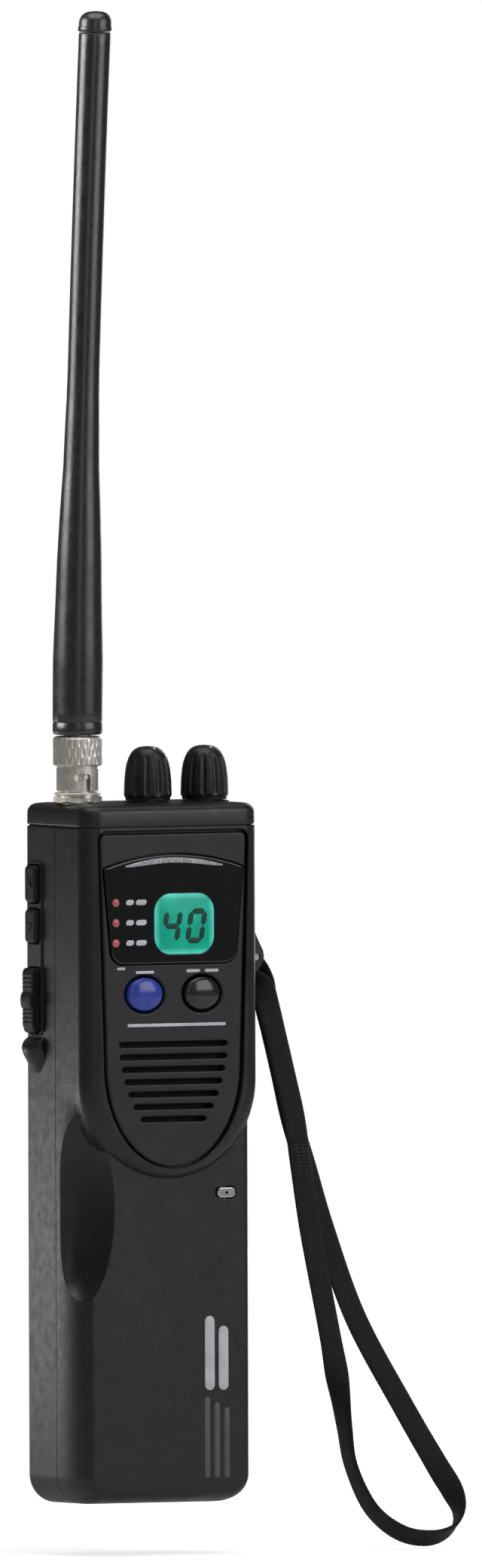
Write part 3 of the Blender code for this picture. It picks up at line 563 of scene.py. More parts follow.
def front_cutters():
    """What is taken out of the front shell, rims rounded where they show."""
    inner = HALF - WALL
    layers = fillet(FRONT_Y + 2, 5, 2.6, 8, 12.0)
    lower = rounded((-inner, HOLLOW_Z), (inner, 64.0), (HOLLOW_CORNER, HOLLOW_CORNER, 0, 0))
    upper = rounded((-inner, 65.6), (inner, SHELL_TOP + 20), 0)
    tools = []
    for name, outline in (("bay", lower), ("room", upper)):
        tools.append(stacked(name, outline, layers))
        cut(tools[-1], scoop(f"{name}_wall", 2.0))
    hollow = scoop("scoop_cut", 0.0)
    cut(hollow, stacked("scoop_stop", shield_outline(), [(-40, 0), (10, 0)]))
    recess = stacked("recess", grown(panel_outline(), 0.6), flared(SHIELD_Y, RECESS_Y, 0.8))
    mic = stacked("mic_hole", grown(mic_outline(), GAP), flared(FRONT_Y, HOLLOW_Y, 0.4))
    tools += [hollow, recess, mic]
    for name, outline in (("light", grown(lcd_outline(), -1.1)), ("voice", grille_outline()),
                          *((node, grown(key_outline(node), 0.5)) for node in FACE_KEYS)):
        tools.append(stacked(f"hole_{name}", outline, [(SHIELD_Y - 3, 0), (HOLLOW_Y, 0)]))
    return tools


def lug():
    """The strap lug's wedge, the slot that the webbing hangs in, and the bar's bore."""
    low, high = size_of("strap_bar")
    bar = middle_of("strap_bar")
    root, tip = HALF - 0.8, size_of("front_shell")[1].x
    shares = (0, 0.1, 0.2, 0.32, 0.45, 0.6, 0.78, 1.0)
    rise = [(root + (tip - 0.3 - root) * (1 - t) ** 1.35, bar.z + 2 + 16 * t) for t in shares]
    outline = [(root, bar.z - 9.0), (tip - 1.7, bar.z - 3.4), (tip - 0.4, bar.z - 1.5), (tip, bar.z + 0.2),
               *rise]
    wedge = stacked("lug_wedge", outline, pillow(low.y - 0.2, high.y + 0.2, 0.6, 0.05, 4))
    slot = block("lug_slot", (HALF - 0.2, low.y + 1.2, bar.z - 21), (HALF + 12, high.y - 1.1, bar.z + 4.0))
    return wedge, slot, rod("bar_bore", 1.3, (-14, -1), bar, "y", 32)


def front_shell():
    front, back = SPLIT_Y - SEAM, SPLIT_Y - 2.0
    shell = stacked("front_shell_look", case_outline(), fillet(FRONT_Y, front, 4.4, 16, 14.0), PLASTIC)
    join(shell, stacked("raised", shield_outline(), fillet(SHIELD_Y, back, RIM_ROUND, 14, 5.6)))
    keep(shell, plan_form("front_plan", SHIELD_Y, 10, 1.0, 0))
    cut(shell, *front_cutters())
    wedge, slot, bore = lug()
    join(shell, wedge)
    cut(shell, slot, bore)
    carved_for(shell, "case", "case", "front_shell")


def rear_cutters():
    """What is taken out of the rear shell."""
    inner = HALF - WALL
    room = rounded((-inner, HOLLOW_Z), (inner, SHELL_TOP + 20), (HOLLOW_CORNER, HOLLOW_CORNER, 0, 0))
    cavity = stacked("cavity", room, [(SPLIT_Y - 3, 0), (BACK_Y - 2.5, 0)])
    door_half, door_top = DOOR_HIGH.x - 1.2, DOOR_HIGH.z + GAP
    door = rounded((-door_half - GAP, -4), (door_half + GAP, door_top), (0, 0, 1.2, 1.2), 5)
    way = stacked("door_way", door, flared(BACK_Y, BACK_Y - 2.65, 0.35))
    groove = block("door_groove", (-door_half - 1.8, 16.6, -1), (door_half + 1.8, 17.7, door_top))
    tools = [cavity, way, groove]
    for node, gap in zip(SIDE_KEYS, (0.4, GAP, GAP)):
        opening = node_outline(node, 1.0, 5, gap, "x")
        tools.append(stacked(f"way_{node}", opening, flared(-HALF, -25, 0.6), axis="x"))
    recess = node_outline("jack_cover", 1.7, 5, GAP, "x")
    tools.append(stacked("cover_recess", recess, flared(HALF, HALF - 1.3, 0.4), axis="x"))
    tools.append(rod("socket_way", 3.2, (26, 30), middle_of("accessory_socket"), "x"))
    seat = ((1.6, 12), (1.6, BACK_Y - 1.4), (3.0, BACK_Y - 1.4), (3.0, BACK_Y - 0.3), (3.35, BACK_Y),
            (3.35, 22), (0, 22), (0, 12))
    tools += [turned(f"way_{node}", seat, middle_of(node), "y", segments=40) for node in SCREWS]
    return tools


def rear_shell():
    start = SPLIT_Y + SEAM
    shell = stacked("rear_shell_look", case_outline(), fillet(BACK_Y, start, BACK_EDGE, 10), PLASTIC)
    keep(shell, plan_form("rear_plan", start, BACK_Y, 0, BACK_EDGE))
    cut(shell, *rear_cutters())
    join(shell, guard_ledge(), *clip_ears())
    cut(shell, rod("pin_way", 1.35, (-14, 14), middle_of("clip_pin"), "x", 40))
    carved_for(shell, "case", "case", "rear_shell")


def guard_ledge():
    """The rounded lump under the talk key that keeps it from being pressed on a table."""
    out, top = size_of("rear_shell")[0].x, size_of("ptt_button")[0].z - 1.0
    root, middle, half_depth, steps = -HALF + 0.7, 10.0, 5.3, 10
    rings = []
    for i in range(-steps, steps + 1):
        share = 0.98 * sin(i / steps * pi / 2)
        full = sqrt(1 - share**2)
        reach, drop = (root - out) * full**0.7, 14.0 * (0.5 + 0.5 * full)
        ring = [(root + 0.4, top - drop), (root + 0.4, top)]
        for k in range(25):
            t = 1 - k / 24
            ring.append((root - reach * max(0.0, sin(pi * t**2.2)) ** 0.7, top - drop * (1 - t)))
        rings.append([(x, middle + half_depth * share, z) for x, z in ring])
    return lofted("guard", rings, sharp=60)


def clip_ears():
    """The two ears that hold the clip's pin."""
    high = size_of("clip_pin")[1]
    outline = rounded((BACK_Y - 1, high.z - 6.5), (25.0, high.z + 4.3), (0, 2.6, 2.6, 0), 8)
    return [stacked(f"ear_{side}", outline, pillow(*sorted((side * 9.4, side * 11.4)), 0.3, 0.3, 3), axis="x")
            for side in (-1, 1)]


def top_cap():
    """The cap over both shells: a domed top, a plug inside them, and a way for each thing that passes."""
    corner = RIM_ROUND - 0.3
    plan = rounded((-HALF, SHIELD_Y), (HALF, BACK_Y), (corner, corner, BACK_EDGE, BACK_EDGE), 10)
    low = SHELL_TOP + GAP
    rim = [(low, -0.5), (low + 0.15, -0.2), (low + 0.5, 0.0)]
    dome = [(CAP_TOP - drop, -inset) for drop, inset in ((2.6, 0.05), (1.8, 0.3), (1.1, 0.8), (0.6, 1.4),
                                                         (0.25, 2.4), (0.08, 3.8), (0, 5.6))]
    cap = stacked("top_cap_look", plan, rim + dome, PLASTIC, axis="z")
    join(cap, stacked("lip", grown(plan, -0.7), [(SHELL_TOP + 0.03, 0), (low + 1, 0)], axis="z"))
    plug = rounded((-26.4, -15.9), (26.4, 15.4), (3.4, 3.4, 0, 0))
    join(cap, stacked("plug", plug, [(size_of("top_cap")[0].z, 0), (low + 2, 0)], axis="z"))
    for node, r, hub_r in (("antenna_jack", 5.1, 0), ("volume_shaft", 3.4, 7.3), ("squelch_shaft", 3.4, 7.3)):
        centre = middle_of(node)
        if hub_r:
            hub = ((hub_r, CAP_TOP - 2), (hub_r, CAP_TOP + 0.05), (hub_r - 0.3, CAP_TOP + 0.22),
                   (0, CAP_TOP + 0.22), (0, CAP_TOP - 2))
            join(cap, turned(f"hub_{node}", hub, centre))
        way = ((r, 190), (r, CAP_TOP - 0.3), (r + 0.3, CAP_TOP + 0.3), (r + 0.3, 215), (0, 215), (0, 190))
        cut(cap, turned(f"way_{node}", way, centre))
    carved_for(cap, "case", "case", "top_cap")


def battery_door():
    """The sliding door with its rails, and a ribbed dish for a finger."""
    centre_x, wide = middle_of("battery_door").x, DOOR_HIGH.x - 1.2
    outline = rounded((centre_x - wide, -3), (centre_x + wide, DOOR_HIGH.z), (0, 0, 1.0, 1.0), 6)
    door = stacked("battery_door_look", outline, fillet(BACK_Y, DOOR_LOW.y, 0.45, 5), PLASTIC)
    form = stacked("door_form", case_outline(), fillet(BACK_Y, SPLIT_Y, BACK_EDGE, 10))
    keep(door, form, block("door_base", (-30, 0, DOOR_LOW.z), (30, 30, 90)))
    join(door, block("rails", (DOOR_LOW.x, 16.85, 3.0), (DOOR_HIGH.x, 17.45, DOOR_HIGH.z - 0.5)))
    dish = [(r, BACK_Y + y) for r, y in ((0, -0.9), (4.5, -0.75), (8.0, -0.2), (8.8, 0.1), (8.8, 3), (0, 3))]
    cut(door, turned("dish", dish, (0, 0, DISH_Z), "y"))
    for i in range(4):
        z = DISH_Z - 4.5 + 3 * i
        reach = sqrt(7.4**2 - (z - DISH_Z) ** 2)
        rib = rounded((-reach, z - 0.45), (reach, z + 0.45), 0.44, 4)
        join(door, stacked(f"rib_{i}", rib, fillet(BACK_Y - 0.15, BACK_Y - 1.4, 0.3, 3)))
    carved_for(door, "door", "case", "battery_door")


# ---- face


def face_panel():
    panel = stacked("face_panel_look", panel_outline(), fillet(PANEL_LOW.y, PANEL_HIGH.y, 0.9, 6), PANEL)
    holes = [("window", grown(window_outline(), GAP), 0.35, 4)]
    holes += [(node, grown(key_outline(node), 0.5), 0.9, 6) for node in FACE_KEYS]
    holes += [(f"slot_{i}", slot_outline(i), 0.55, 5) for i in range(7)]
    cut(panel, *(stacked(f"seat_{name}", outline, flared(PANEL_LOW.y, RECESS_Y + 1, radius, steps))
                 for name, outline, radius, steps in holes))
    carved_for(panel, "case", "panel", "face_panel")
    backing = stacked("grille_cloth", grown(grille_outline(), -0.1), fillet(-18.3, -17.9, 0.2, 2), CLOTH)
    stand_for(backing, "case", "cone")


def window():
    layers = fillet(WINDOW_LOW.y, WINDOW_HIGH.y, 0.5, 6)
    glass = stacked("display_window_look", window_outline(), layers, GLOSS)
    cut(glass, stacked("lcd_seat", grown(lcd_outline(), 0.12), flared(WINDOW_LOW.y, RECESS_Y + 1, 0.12, 3)))
    carved_for(glass, "case", "window", "display_window")


def lcd():
    """The lit display: its panel and two leaning seven-segment digits."""
    face = WINDOW_LOW.y + 0.12
    panel = stacked("lcd_panel_look", lcd_outline(), fillet(face, LCD_HIGH.y, 0.15, 3), LCD)
    stand_for(panel, "case", "lcd", "lcd_panel")
    layers = [(face - 0.04, -0.04), (face - 0.02, 0), (face + 0.1, 0)]
    for i, (digit, across) in enumerate((("bcfg", -4.2), ("abcdef", 4.0))):
        centre = (LCD_CENTRE.x + across, LCD_CENTRE.z - 0.7)
        for segment in digit:
            outline = segment_outline(segment, centre, size=(6.2, 10.4), stroke=1.7, slant=0.16)
            stand_for(stacked(f"digit_{i}_{segment}", outline, layers, DIGIT), "case", "lcd")


def segment_outline(segment, centre, size, stroke, slant):
    """One bar of a seven-segment digit: a hexagon, leaning with height."""
    ends = {"a": (-1, 1, 1, 1), "b": (1, 0, 1, 1), "c": (1, -1, 1, 0), "d": (-1, -1, 1, -1),
            "e": (-1, -1, -1, 0), "f": (-1, 0, -1, 1), "g": (-1, 0, 1, 0)}[segment]
    half_w, half_h = (size[0] - stroke) / 2, (size[1] - stroke) / 2
    start, end = Vector((half_w * ends[0], half_h * ends[1])), Vector((half_w * ends[2], half_h * ends[3]))
    along = (end - start).normalized()
    side = Vector((-along.y, along.x)) * stroke / 2
    tip = along * stroke / 2
    near, far = start + along * 0.06, end - along * 0.06
    corners = [near, near + tip - side, far - tip - side, far, far - tip + side, near + tip + side]
    return [(centre[0] + c.x + slant * c.y, centre[1] + c.y) for c in corners]


def mark(name, outline, face, material, slot, thick=0.05):
    """A thin printed or plated mark that stands just proud of a face."""
    layers = [(face - thick, -0.05), (face - thick * 0.6, 0), (face + 0.1, 0)]
    stand_for(stacked(name, outline, layers, material), "case", slot)


def bar_outline(x, z, width, height, slant=0.0):
    """A short bar with round ends, leaning with height."""
    shape = rounded((-width / 2, -height / 2), (width / 2, height / 2), min(width, height) / 2 - 0.01, 5)
    return [(x + a + slant * b, z + b) for a, b in shape]


def window_marks():
    """The bright arc under the window's top, and three indicator lamps with printed dashes."""
    face = WINDOW_LOW.y
    span = (WINDOW_HIGH.x - WINDOW_LOW.x) * 0.35
    upper, lower = [], []
    for i in range(41):
        share = 1 - i / 20
        z = WINDOW_HIGH.z - 0.9 - 2.3 * share**2
        upper.append((span * share, z))
        lower.append((-span * share, z - 1.5 * (1 - 0.75 * share**4)))
    mark("window_arc", lower + upper, face, BRIGHT, "trim", thick=0.12)
    dome = [(r, face + y) for r, y in ((0, -0.35), (0.7, -0.28), (1.15, -0.05), (1.25, 0.05), (1.25, 0.6),
                                       (0, 0.6))]
    for i in range(3):
        z = LCD_CENTRE.z + 6.6 - 6.0 * i
        stand_for(turned(f"lamp_{i}", dome, (-19.6, 0, z), "y", LAMP, 40), "case", "window")
        for j, (x, width) in enumerate(((-14.9, 2.6), (-11.1, 3.6))):
            mark(f"dash_{i}_{j}", bar_outline(x, z, width, 1.6, 0.2), face, PRINT, "window")


def panel_marks():
    """Printed rules and dashes on the face panel, in place of lettering."""
    low, high = (corner.z for corner in size_of("call_button"))
    for name, outline in (("rule", bar_outline(1.0, low - 4.2, 33.0, 0.9)),
                          ("call_dash", bar_outline(-9.6, high + 1.5, 6.2, 0.8)),
                          ("mode_dash_0", bar_outline(6.6, high + 1.7, 4.6, 0.9)),
                          ("mode_dash_1", bar_outline(12.8, high + 1.7, 4.6, 0.9)),
                          ("corner_dash", bar_outline(-17.6, WINDOW_LOW.z - 1.3, 2.8, 0.8, 0.2))):
        mark(name, outline, PANEL_LOW.y, PRINT, "panel")


def front_marks():
    """Upright generic bars on the lower front, pale above and grey below."""
    for i in range(2):
        outline = bar_outline(13.4 + 4.6 * i, 44.5 - 1.5 * i, 3.2, 22.0 - 3.0 * i)
        mark(f"pale_bar_{i}", outline, FRONT_Y, PRINT, "case")
    for i in range(3):
        outline = bar_outline(12.5 + 3.3 * i, 19.5 - 0.8 * i, 1.7, 24.0 - 1.6 * i)
        mark(f"grey_bar_{i}", outline, FRONT_Y, GREY_PRINT, "case")


def keys():
    """Two domed keys, each a dome of rings over a short straight side."""
    shares = [0.06 + 0.94 * i / 14 for i in range(15)]
    for node, body, material, slot in (("call_button", "call_key", BLUE, "key_blue"),
                                       ("mode_button", "mode_key", BLACK_KEY, "key_black")):
        low, high = size_of(node)
        centre = middle_of(node)
        dome = [(share, low.y + 1.9 * (1 - sqrt(max(0.0, 1 - share**2)))) for share in shares]
        rings = [[(centre.x + (x - centre.x) * share, y, centre.z + (z - centre.z) * share)
                  for x, z in key_outline(node)] for share, y in [*dome, (1.0, low.y + 2.2), (1.0, high.y)]]
        stand_for(lofted(f"{node}_look", rings, material), body, slot, node)


def mic_trim():
    low, high = size_of("mic_trim")
    trim = stacked("mic_trim_look", mic_outline(), fillet(low.y, high.y, 0.5, 6), BRIGHT)
    cut(trim, rod("port", 0.45, (-20, -16), middle_of("mic_trim"), "y"))
    carved_for(trim, "case", "trim", "mic_trim")


# ---- top controls and antenna


def knob(name):
    """A tall fluted knob with a rounded crown and a printed pointer."""
    low, high = size_of(f"{name}_knob")
    centre = middle_of(f"{name}_knob")
    base, r = low.z, (high.x - low.x) / 2 + 0.35
    crown = [(r - inset, base + z) for inset, z in (
        (0.75, 0), (0.5, 0.12), (0.42, 0.9), (0.1, 1.25), (0, 1.6), (0, 2.2), (0.12, 6.0), (0.45, 9.2),
        (0.8, 11.0), (1.35, 12.6), (2.1, 14.0), (3.0, 15.0), (4.2, 15.7), (5.6, 16.0))]
    bore = [(0, base + 13.4), (3.3, base + 13.4), (3.3, base)]

    def flutes(angle, radius, height):
        start, end = base + 1.3, base + 13.4
        if radius < 3.4 or not start < height < end:
            return radius
        fade = min(1.0, height - start, (end - height) / 1.2)
        return radius - 0.55 * fade * max(0.0, cos(12 * angle)) ** 0.7

    profile = refined([*crown, (0, base + 16.1)]) + bore
    body = turned(f"{name}_knob_look", profile, centre, material=KNOB, segments=144, ripple=flutes)
    stand_for(body, name, "knob", f"{name}_knob")
    pointer = [(centre.x - 0.28, centre.y - 1.6), (centre.x + 0.28, centre.y - 1.6),
               (centre.x + 0.28, centre.y - 4.4), (centre.x - 0.28, centre.y - 4.4)]
    line = stacked(f"{name}_pointer", pointer, [(base + 15.2, 0), (base + 15.98, 0)], PRINT, "z")
    stand_for(line, name, "knob")


def refined(profile, step=0.8):
    """A profile with its longer runs split."""
    out = []
    for (r0, z0), (r1, z1) in zip(profile, profile[1:]):
        pieces = max(1, round(sqrt((r1 - r0) ** 2 + (z1 - z0) ** 2) / step))
        out += [(r0 + (r1 - r0) * k / pieces, z0 + (z1 - z0) * k / pieces) for k in range(pieces)]
    return [*out, profile[-1]]


def antenna_socket():
    """The socket with its hexagonal nut and the two lugs that the collar turns on."""
    low, high = size_of("antenna_jack")
    centre = middle_of("antenna_jack")
    nut_low = CAP_TOP + 0.4
    nut = [(r, nut_low + z) for r, z in (
        (4.7, 0), (6.6, 0), (7.2, 0.25), (7.2, 1.5), (6.9, 1.8), (6.3, 1.85), (6.3, 2.1), (6.9, 2.2),
        (6.9, 2.7), (6.6, 2.95), (4.85, 3.0))]
    profile = [(4.7, low.z), *nut, (4.85, high.z - 0.3), (4.55, high.z), (3.9, high.z), (3.9, low.z)]

    def hexed(angle, radius, height):
        if not (6.95 < radius and nut_low < height < nut_low + 1.7):
            return radius
        wrapped = (angle + pi / 6) % (pi / 3) - pi / 6
        return min(radius, 6.45 / cos(wrapped))

    body = turned("antenna_jack_look", profile, centre, material=NICKEL, segments=96, ripple=hexed)
    for side in (-1, 1):
        ends = (centre.y + side * 4.5, centre.y + side * 5.35)
        join(body, rod(f"lug_{side}", 0.8, ends, (centre.x, 0, 215.5), "y", 24))
    carved_for(body, "case", "nickel", "antenna_jack")


def collar():
    """The bayonet collar: a knurled grip over a skirt with two hooked slots."""
    base, top = (corner.z for corner in size_of("bayonet_collar"))
    centre = middle_of("antenna_jack")
    skirt = [(6.05, 0), (6.3, 0.25), (6.3, 6.6), (6.1, 6.9), (6.1, 7.3), (6.9, 7.6), (7.3, 8.0),
             *[(7.3, 8.0 + 0.7 * i) for i in range(1, 11)]]
    profile = [*[(r, base + z) for r, z in skirt], (7.3, top - 0.9), (6.9, top - 0.35), (6.3, top - 0.1),
               (5.4, top), (4.4, top), (4.4, top - 2.6), (5.6, top - 2.6), (5.6, base)]

    def knurled(angle, radius, height):
        if radius < 7.25:
            return radius
        rise = (height - base) * 0.55
        crossed = max(abs(sin(12 * angle + rise)), abs(sin(12 * angle - rise)))
        return radius - 0.32 + 0.32 * crossed

    ring = turned("bayonet_collar_look", profile, centre, material=NICKEL, segments=192, ripple=knurled)
    for side in (-1, 1):
        layers = [(place, 0) for place in sorted((centre.y + side * 5.0, centre.y + side * 8.0))]
        entry = rounded((centre.x - 1.05, base - 3), (centre.x + 1.05, base + 5.2), 1.0, 5)
        start, end = sorted((centre.x - side * 0.4, centre.x + side * 3.9))
        turn = rounded((start, base + 3.1), (end, base + 5.2), 1.0, 5)
        cut(ring, stacked(f"entry_{side}", entry, layers), stacked(f"turn_{side}", turn, layers))
    carved_for(ring, "collar", "nickel", "bayonet_collar")


def lean(obj):
    """Bends an antenna piece as the frame's antenna bends."""
    base, top = size_of("antenna_sheath")[0].z, size_of("antenna_cap")[1].z
    total = middle_of("antenna_cap").x - middle_of("antenna_jack").x + 0.12
    for vertex in obj.data.vertices:
        share = max(0.0, (vertex.co.z / MM - base) / (top - base))
        vertex.co.x += total * MM * share**1.5


def whip():
    """The rubber sheath: a full lower part, a long taper, and a cap with a lip."""
    base, top = (corner.z for corner in size_of("antenna_sheath"))
    shape = [(6.5, 0), (7.0, 0.12), (7.3, 0.5), (7.42, 1.1), (7.42, 3.2), (7.25, 3.5), (7.25, 3.9),
             (7.42, 4.2), (7.45, 12), (7.45, 22), (7.2, 31), (6.95, 39), (6.65, 52), (6.1, 65.5), (5.4, 79),
             (5.1, 92), (4.85, 100), (4.75, 108), (4.75, 140), (4.75, 170)]
    outer = [*[(r, base + z) for r, z in shape], (4.75, top - 0.3), (4.55, top)]
    bore = [(1.3, top), *[(r, base + z) for r, z in ((1.3, 74), (3.4, 73), (3.4, 8), (4.4, 8), (4.4, 0))]]
    cap_low, cap_high = (corner.z for corner in size_of("antenna_cap"))
    tip = [*[(r, cap_low + z) for r, z in (
        (4.6, 0), (4.9, 0.15), (5.05, 0.5), (5.05, 1.3), (4.85, 1.6), (4.85, 2.6), (4.7, 3.6), (4.25, 4.6),
        (3.4, 5.4), (2.2, 5.9))], (0, cap_high), (0, cap_low)]
    for node, profile in (("antenna_sheath", refined(outer, 3.0) + refined(bore, 8.0)), ("antenna_cap", tip)):
        skin = turned(f"{node}_look", profile, middle_of("antenna_jack"), material=SHEATH, segments=72)
        lean(skin)
        stand_for(skin, "antenna", "rubber", node)


# ---- side keys


def talk_key():
    """The push-to-talk bar: a rubber skin with a nub and fine grip ribs."""
    low, high = size_of("ptt_button")
    out, inner, foot = low.x, -27.7, high.x
    side = [(out + 1.4, low.z + 0.5), (out + 2.0, low.z), (foot, low.z), (foot, low.z + 3.2),
            (inner, low.z + 3.2), (inner, high.z), (out + 1.9, high.z), (out + 1.2, high.z - 0.35),
            (out + 0.85, high.z - 1.1)]
    middle = middle_of("ptt_button").z
    grip = []
    for i in range(61):
        z = high.z - 1.4 - (high.z - low.z - 3.6) * i / 60
        nub = 0.8 * max(0.0, 1 - ((z - middle) / 2.4) ** 2) ** 0.5
        rib = 0.18 * max(0.0, sin((z - low.z) * 2 * pi / 1.3)) if abs(z - middle) > 2.9 else 0.0
        grip.append((out + 0.85 - nub - rib, z))
    key = stacked("ptt_button_look", side + grip, pillow(low.y, high.y, 0.55, 0.55, 4), SIDE_KEY)
    cut(key, rod("bore", 1.0, (5, 15), middle_of("ptt_pin"), "y", 32))
    carved_for(key, "ptt", "side_key", "ptt_button")


def channel_keys():
    """Two rubber keys with a raised arrowhead each, one up and one down."""
    for body, way in (("channel_up", 1), ("channel_down", -1)):
        node = f"{body}_button"
        centre = middle_of(node)
        face, back = size_of(node)[0].x - 0.6, size_of(node)[1].x
        layers = fillet(face + 0.3, back, 0.9, 6)
        key = stacked(f"{node}_look", node_outline(node, 1.5, 8, along="x"), layers, SIDE_KEY, "x")
        head = [(centre.y - 1.9, centre.z - way * 1.1), (centre.y + 1.9, centre.z - way * 1.1),
                (centre.y, centre.z + way * 1.9)][::way]
        join(key, stacked(f"{node}_arrow", head, [(face, -0.3), (face + 0.2, 0), (face + 1.0, 0)], axis="x"))
        carved_for(key, body, "side_key", node)


def key_frame():
    """A low raised border moulded round the side keys."""
    low, high = size_of("ptt_button")
    top = size_of("channel_up_button")[1].z
    outer = rounded((low.y - 1.5, low.z - 0.9), (high.y + 1.5, top + 1.6), 2.0, 8)
    layers = [(-HALF + x, growth) for x, growth in ((-0.5, -0.7), (-0.42, -0.35), (-0.2, -0.08), (0.25, 0))]
    rim = stacked("key_frame_look", outer, layers, PLASTIC, "x")
    for node in SIDE_KEYS:
        hole = node_outline(node, 1.2, 6, 0.45, "x")
        cut(rim, stacked(f"frame_{node}", hole, [(-HALF - 3, 0), (-HALF + 3, 0)], axis="x"))
    carved_for(rim, "case", "case")


def jack_cover():
    low, high = size_of("jack_cover")
    outline = node_outline("jack_cover", 1.5, 8, along="x")
    cover = stacked("jack_cover_look", outline, fillet(high.x, low.x, 0.45, 5), SHEATH, "x")
    for i in range(3):
        rib_low = high.z - 2.2 - 1.3 * i
        rib = rounded((low.y + 1.6, rib_low), (high.y - 1.6, rib_low + 0.7), 0.34, 4)
        join(cover, stacked(f"cover_rib_{i}", rib, fillet(high.x + 0.3, high.x - 0.4, 0.25, 3), axis="x"))
    carved_for(cover, "cover", "rubber", "jack_cover")


# ---- back and fasteners


def belt_clip():
    """The sprung steel clip: rounded plate, embossed channel, and the knuckles round its pin."""
    low, high = size_of("belt_clip")
    pin = middle_of("clip_pin")
    foot, through = low.z, [(10, 0), (30, 0)]
    inner = [(21.9, high.z), (21.9, 118.5), (21.5, 114.5), (20.2, 110.2), (19.2, 107.4), (19.1, 105.6),
             (19.7, 103.6), (21.1, foot + 0.2), (21.7, foot)]
    outer = [(22.6, foot + 0.1), (23.0, foot + 0.7), (22.3, 102.8), (21.2, 105.2), (21.3, 106.6),
             (22.3, 110.0), (23.5, 114.3), (23.9, 118.4), (23.9, high.z - 0.4), (23.5, high.z)]
    clip = stacked("belt_clip_look", inner + outer, pillow(low.x, high.x, 0.35, 0.35, 4), CLIP, "x")
    keep(clip, stacked("clip_form", node_outline("belt_clip", (4.5, 4.5, 2.2, 2.2), 10, 0.1), through))
    channel = rounded((-3.2, 121.0), (3.2, high.z - 22), 3.1, 10)
    layers = [(30, 0), (high.y, 0), (high.y - 0.25, -0.25), (high.y - 0.7, -0.55)]
    opening = rounded((-4.9, pin.z - 5), (4.9, pin.z + 5), 1.0, 5)
    cut(clip, stacked("channel", channel, layers), stacked("clip_window", opening, through))
    for side in (-1, 1):
        start, end = sorted((side * 5.2, side * 9.0))
        profile = ((2.4, start), (2.6, start + 0.2), (2.6, end - 0.2), (2.4, end), (0, end), (0, start))
        join(clip, turned(f"knuckle_{side}", profile, pin, "x", segments=48))
    cut(clip, rod("clip_bore", 1.3, (-12, 12), pin, "x", 40))
    carved_for(clip, "clip", "clip", "belt_clip")


def clip_pin():
    """The pin with its chamfered ends, and a spring of round wire that is coiled round it."""
    start, end = (corner.x for corner in size_of("clip_pin"))
    pin = middle_of("clip_pin")
    profile = ((0, start), (0.8, start), (1.1, start + 0.3), (1.1, end - 0.3), (0.8, end), (0, end))
    stand_for(turned("clip_pin_look", profile, pin, "x", STEEL, 40), "case", "clip", "clip_pin")
    wire, radius, half_length, per_turn, turns = 0.42, 1.75, 3.4, 20, 6.5
    count = int(turns * per_turn)
    path = [(-half_length, pin.y + 0.2, pin.z - 8.0), (-half_length, pin.y + 0.1, pin.z - 4.0)]
    for i in range(count + 1):
        x, angle = half_length * (2 * i / count - 1), 2 * pi * i / per_turn
        path.append((x, pin.y - radius * sin(angle), pin.z - radius * cos(angle)))
    stand_for(tube("clip_spring_look", path, wire, STEEL), "clip", "steel")


def tube(name, path, radius, material, sides=10):
    """A round wire along a path, capped at both ends."""
    rings = []
    up = Vector((1, 0, 0))
    for i, spot in enumerate(path):
        before, after = Vector(path[max(0, i - 1)]), Vector(path[min(len(path) - 1, i + 1)])
        along = (after - before).normalized()
        side = along.cross(up).normalized()
        out = side.cross(along).normalized()
        angles = (2 * pi * k / sides for k in range(sides))
        rings.append([tuple(Vector(spot) + (side * cos(a) + out * sin(a)) * radius) for a in angles])
    return lofted(name, rings, material, sharp=50)


def case_screws():
    """Pan-head screws with a cross recess."""
    for node in SCREWS:
        low, top = size_of(node)[0].y, size_of(node)[1].y
        centre = middle_of(node)
        profile = [(0, top), (1.6, top - 0.02), (2.3, top - 0.16), (2.65, top - 0.45), (2.7, top - 0.9),
                   (1.3, top - 0.9), (1.3, low + 0.8), (0.9, low), (0, low)]
        screw = turned(f"{node}_look", profile, centre, "y", STEEL, 48)
        for across, up in ((1.5, 0.32), (0.32, 1.5)):
            blade = rounded((centre.x - across, centre.z - up), (centre.x + across, centre.z + up), 0.12, 2)
            cut(screw, stacked("cross", blade, [(top - 0.75, -0.12), (top + 1, 0.06)]))
        carved_for(screw, "case", "screw", node)


# ---- wrist strap


def smooth(stations, per_span):
    """Catmull-Rom points through a closed loop of stations of any dimension."""
    out = []
    count = len(stations)
    for i in range(count):
        near = [stations[(i + k) % count] for k in (-1, 0, 1, 2)]
        for j in range(per_span):
            t = j / per_span
            out.append([0.5 * (2 * b + (c - a) * t + (2 * a - 5 * b + 4 * c - d) * t**2
                               + (3 * b - a - 3 * c + d) * t**3) for a, b, c, d in zip(*near)])
    return out


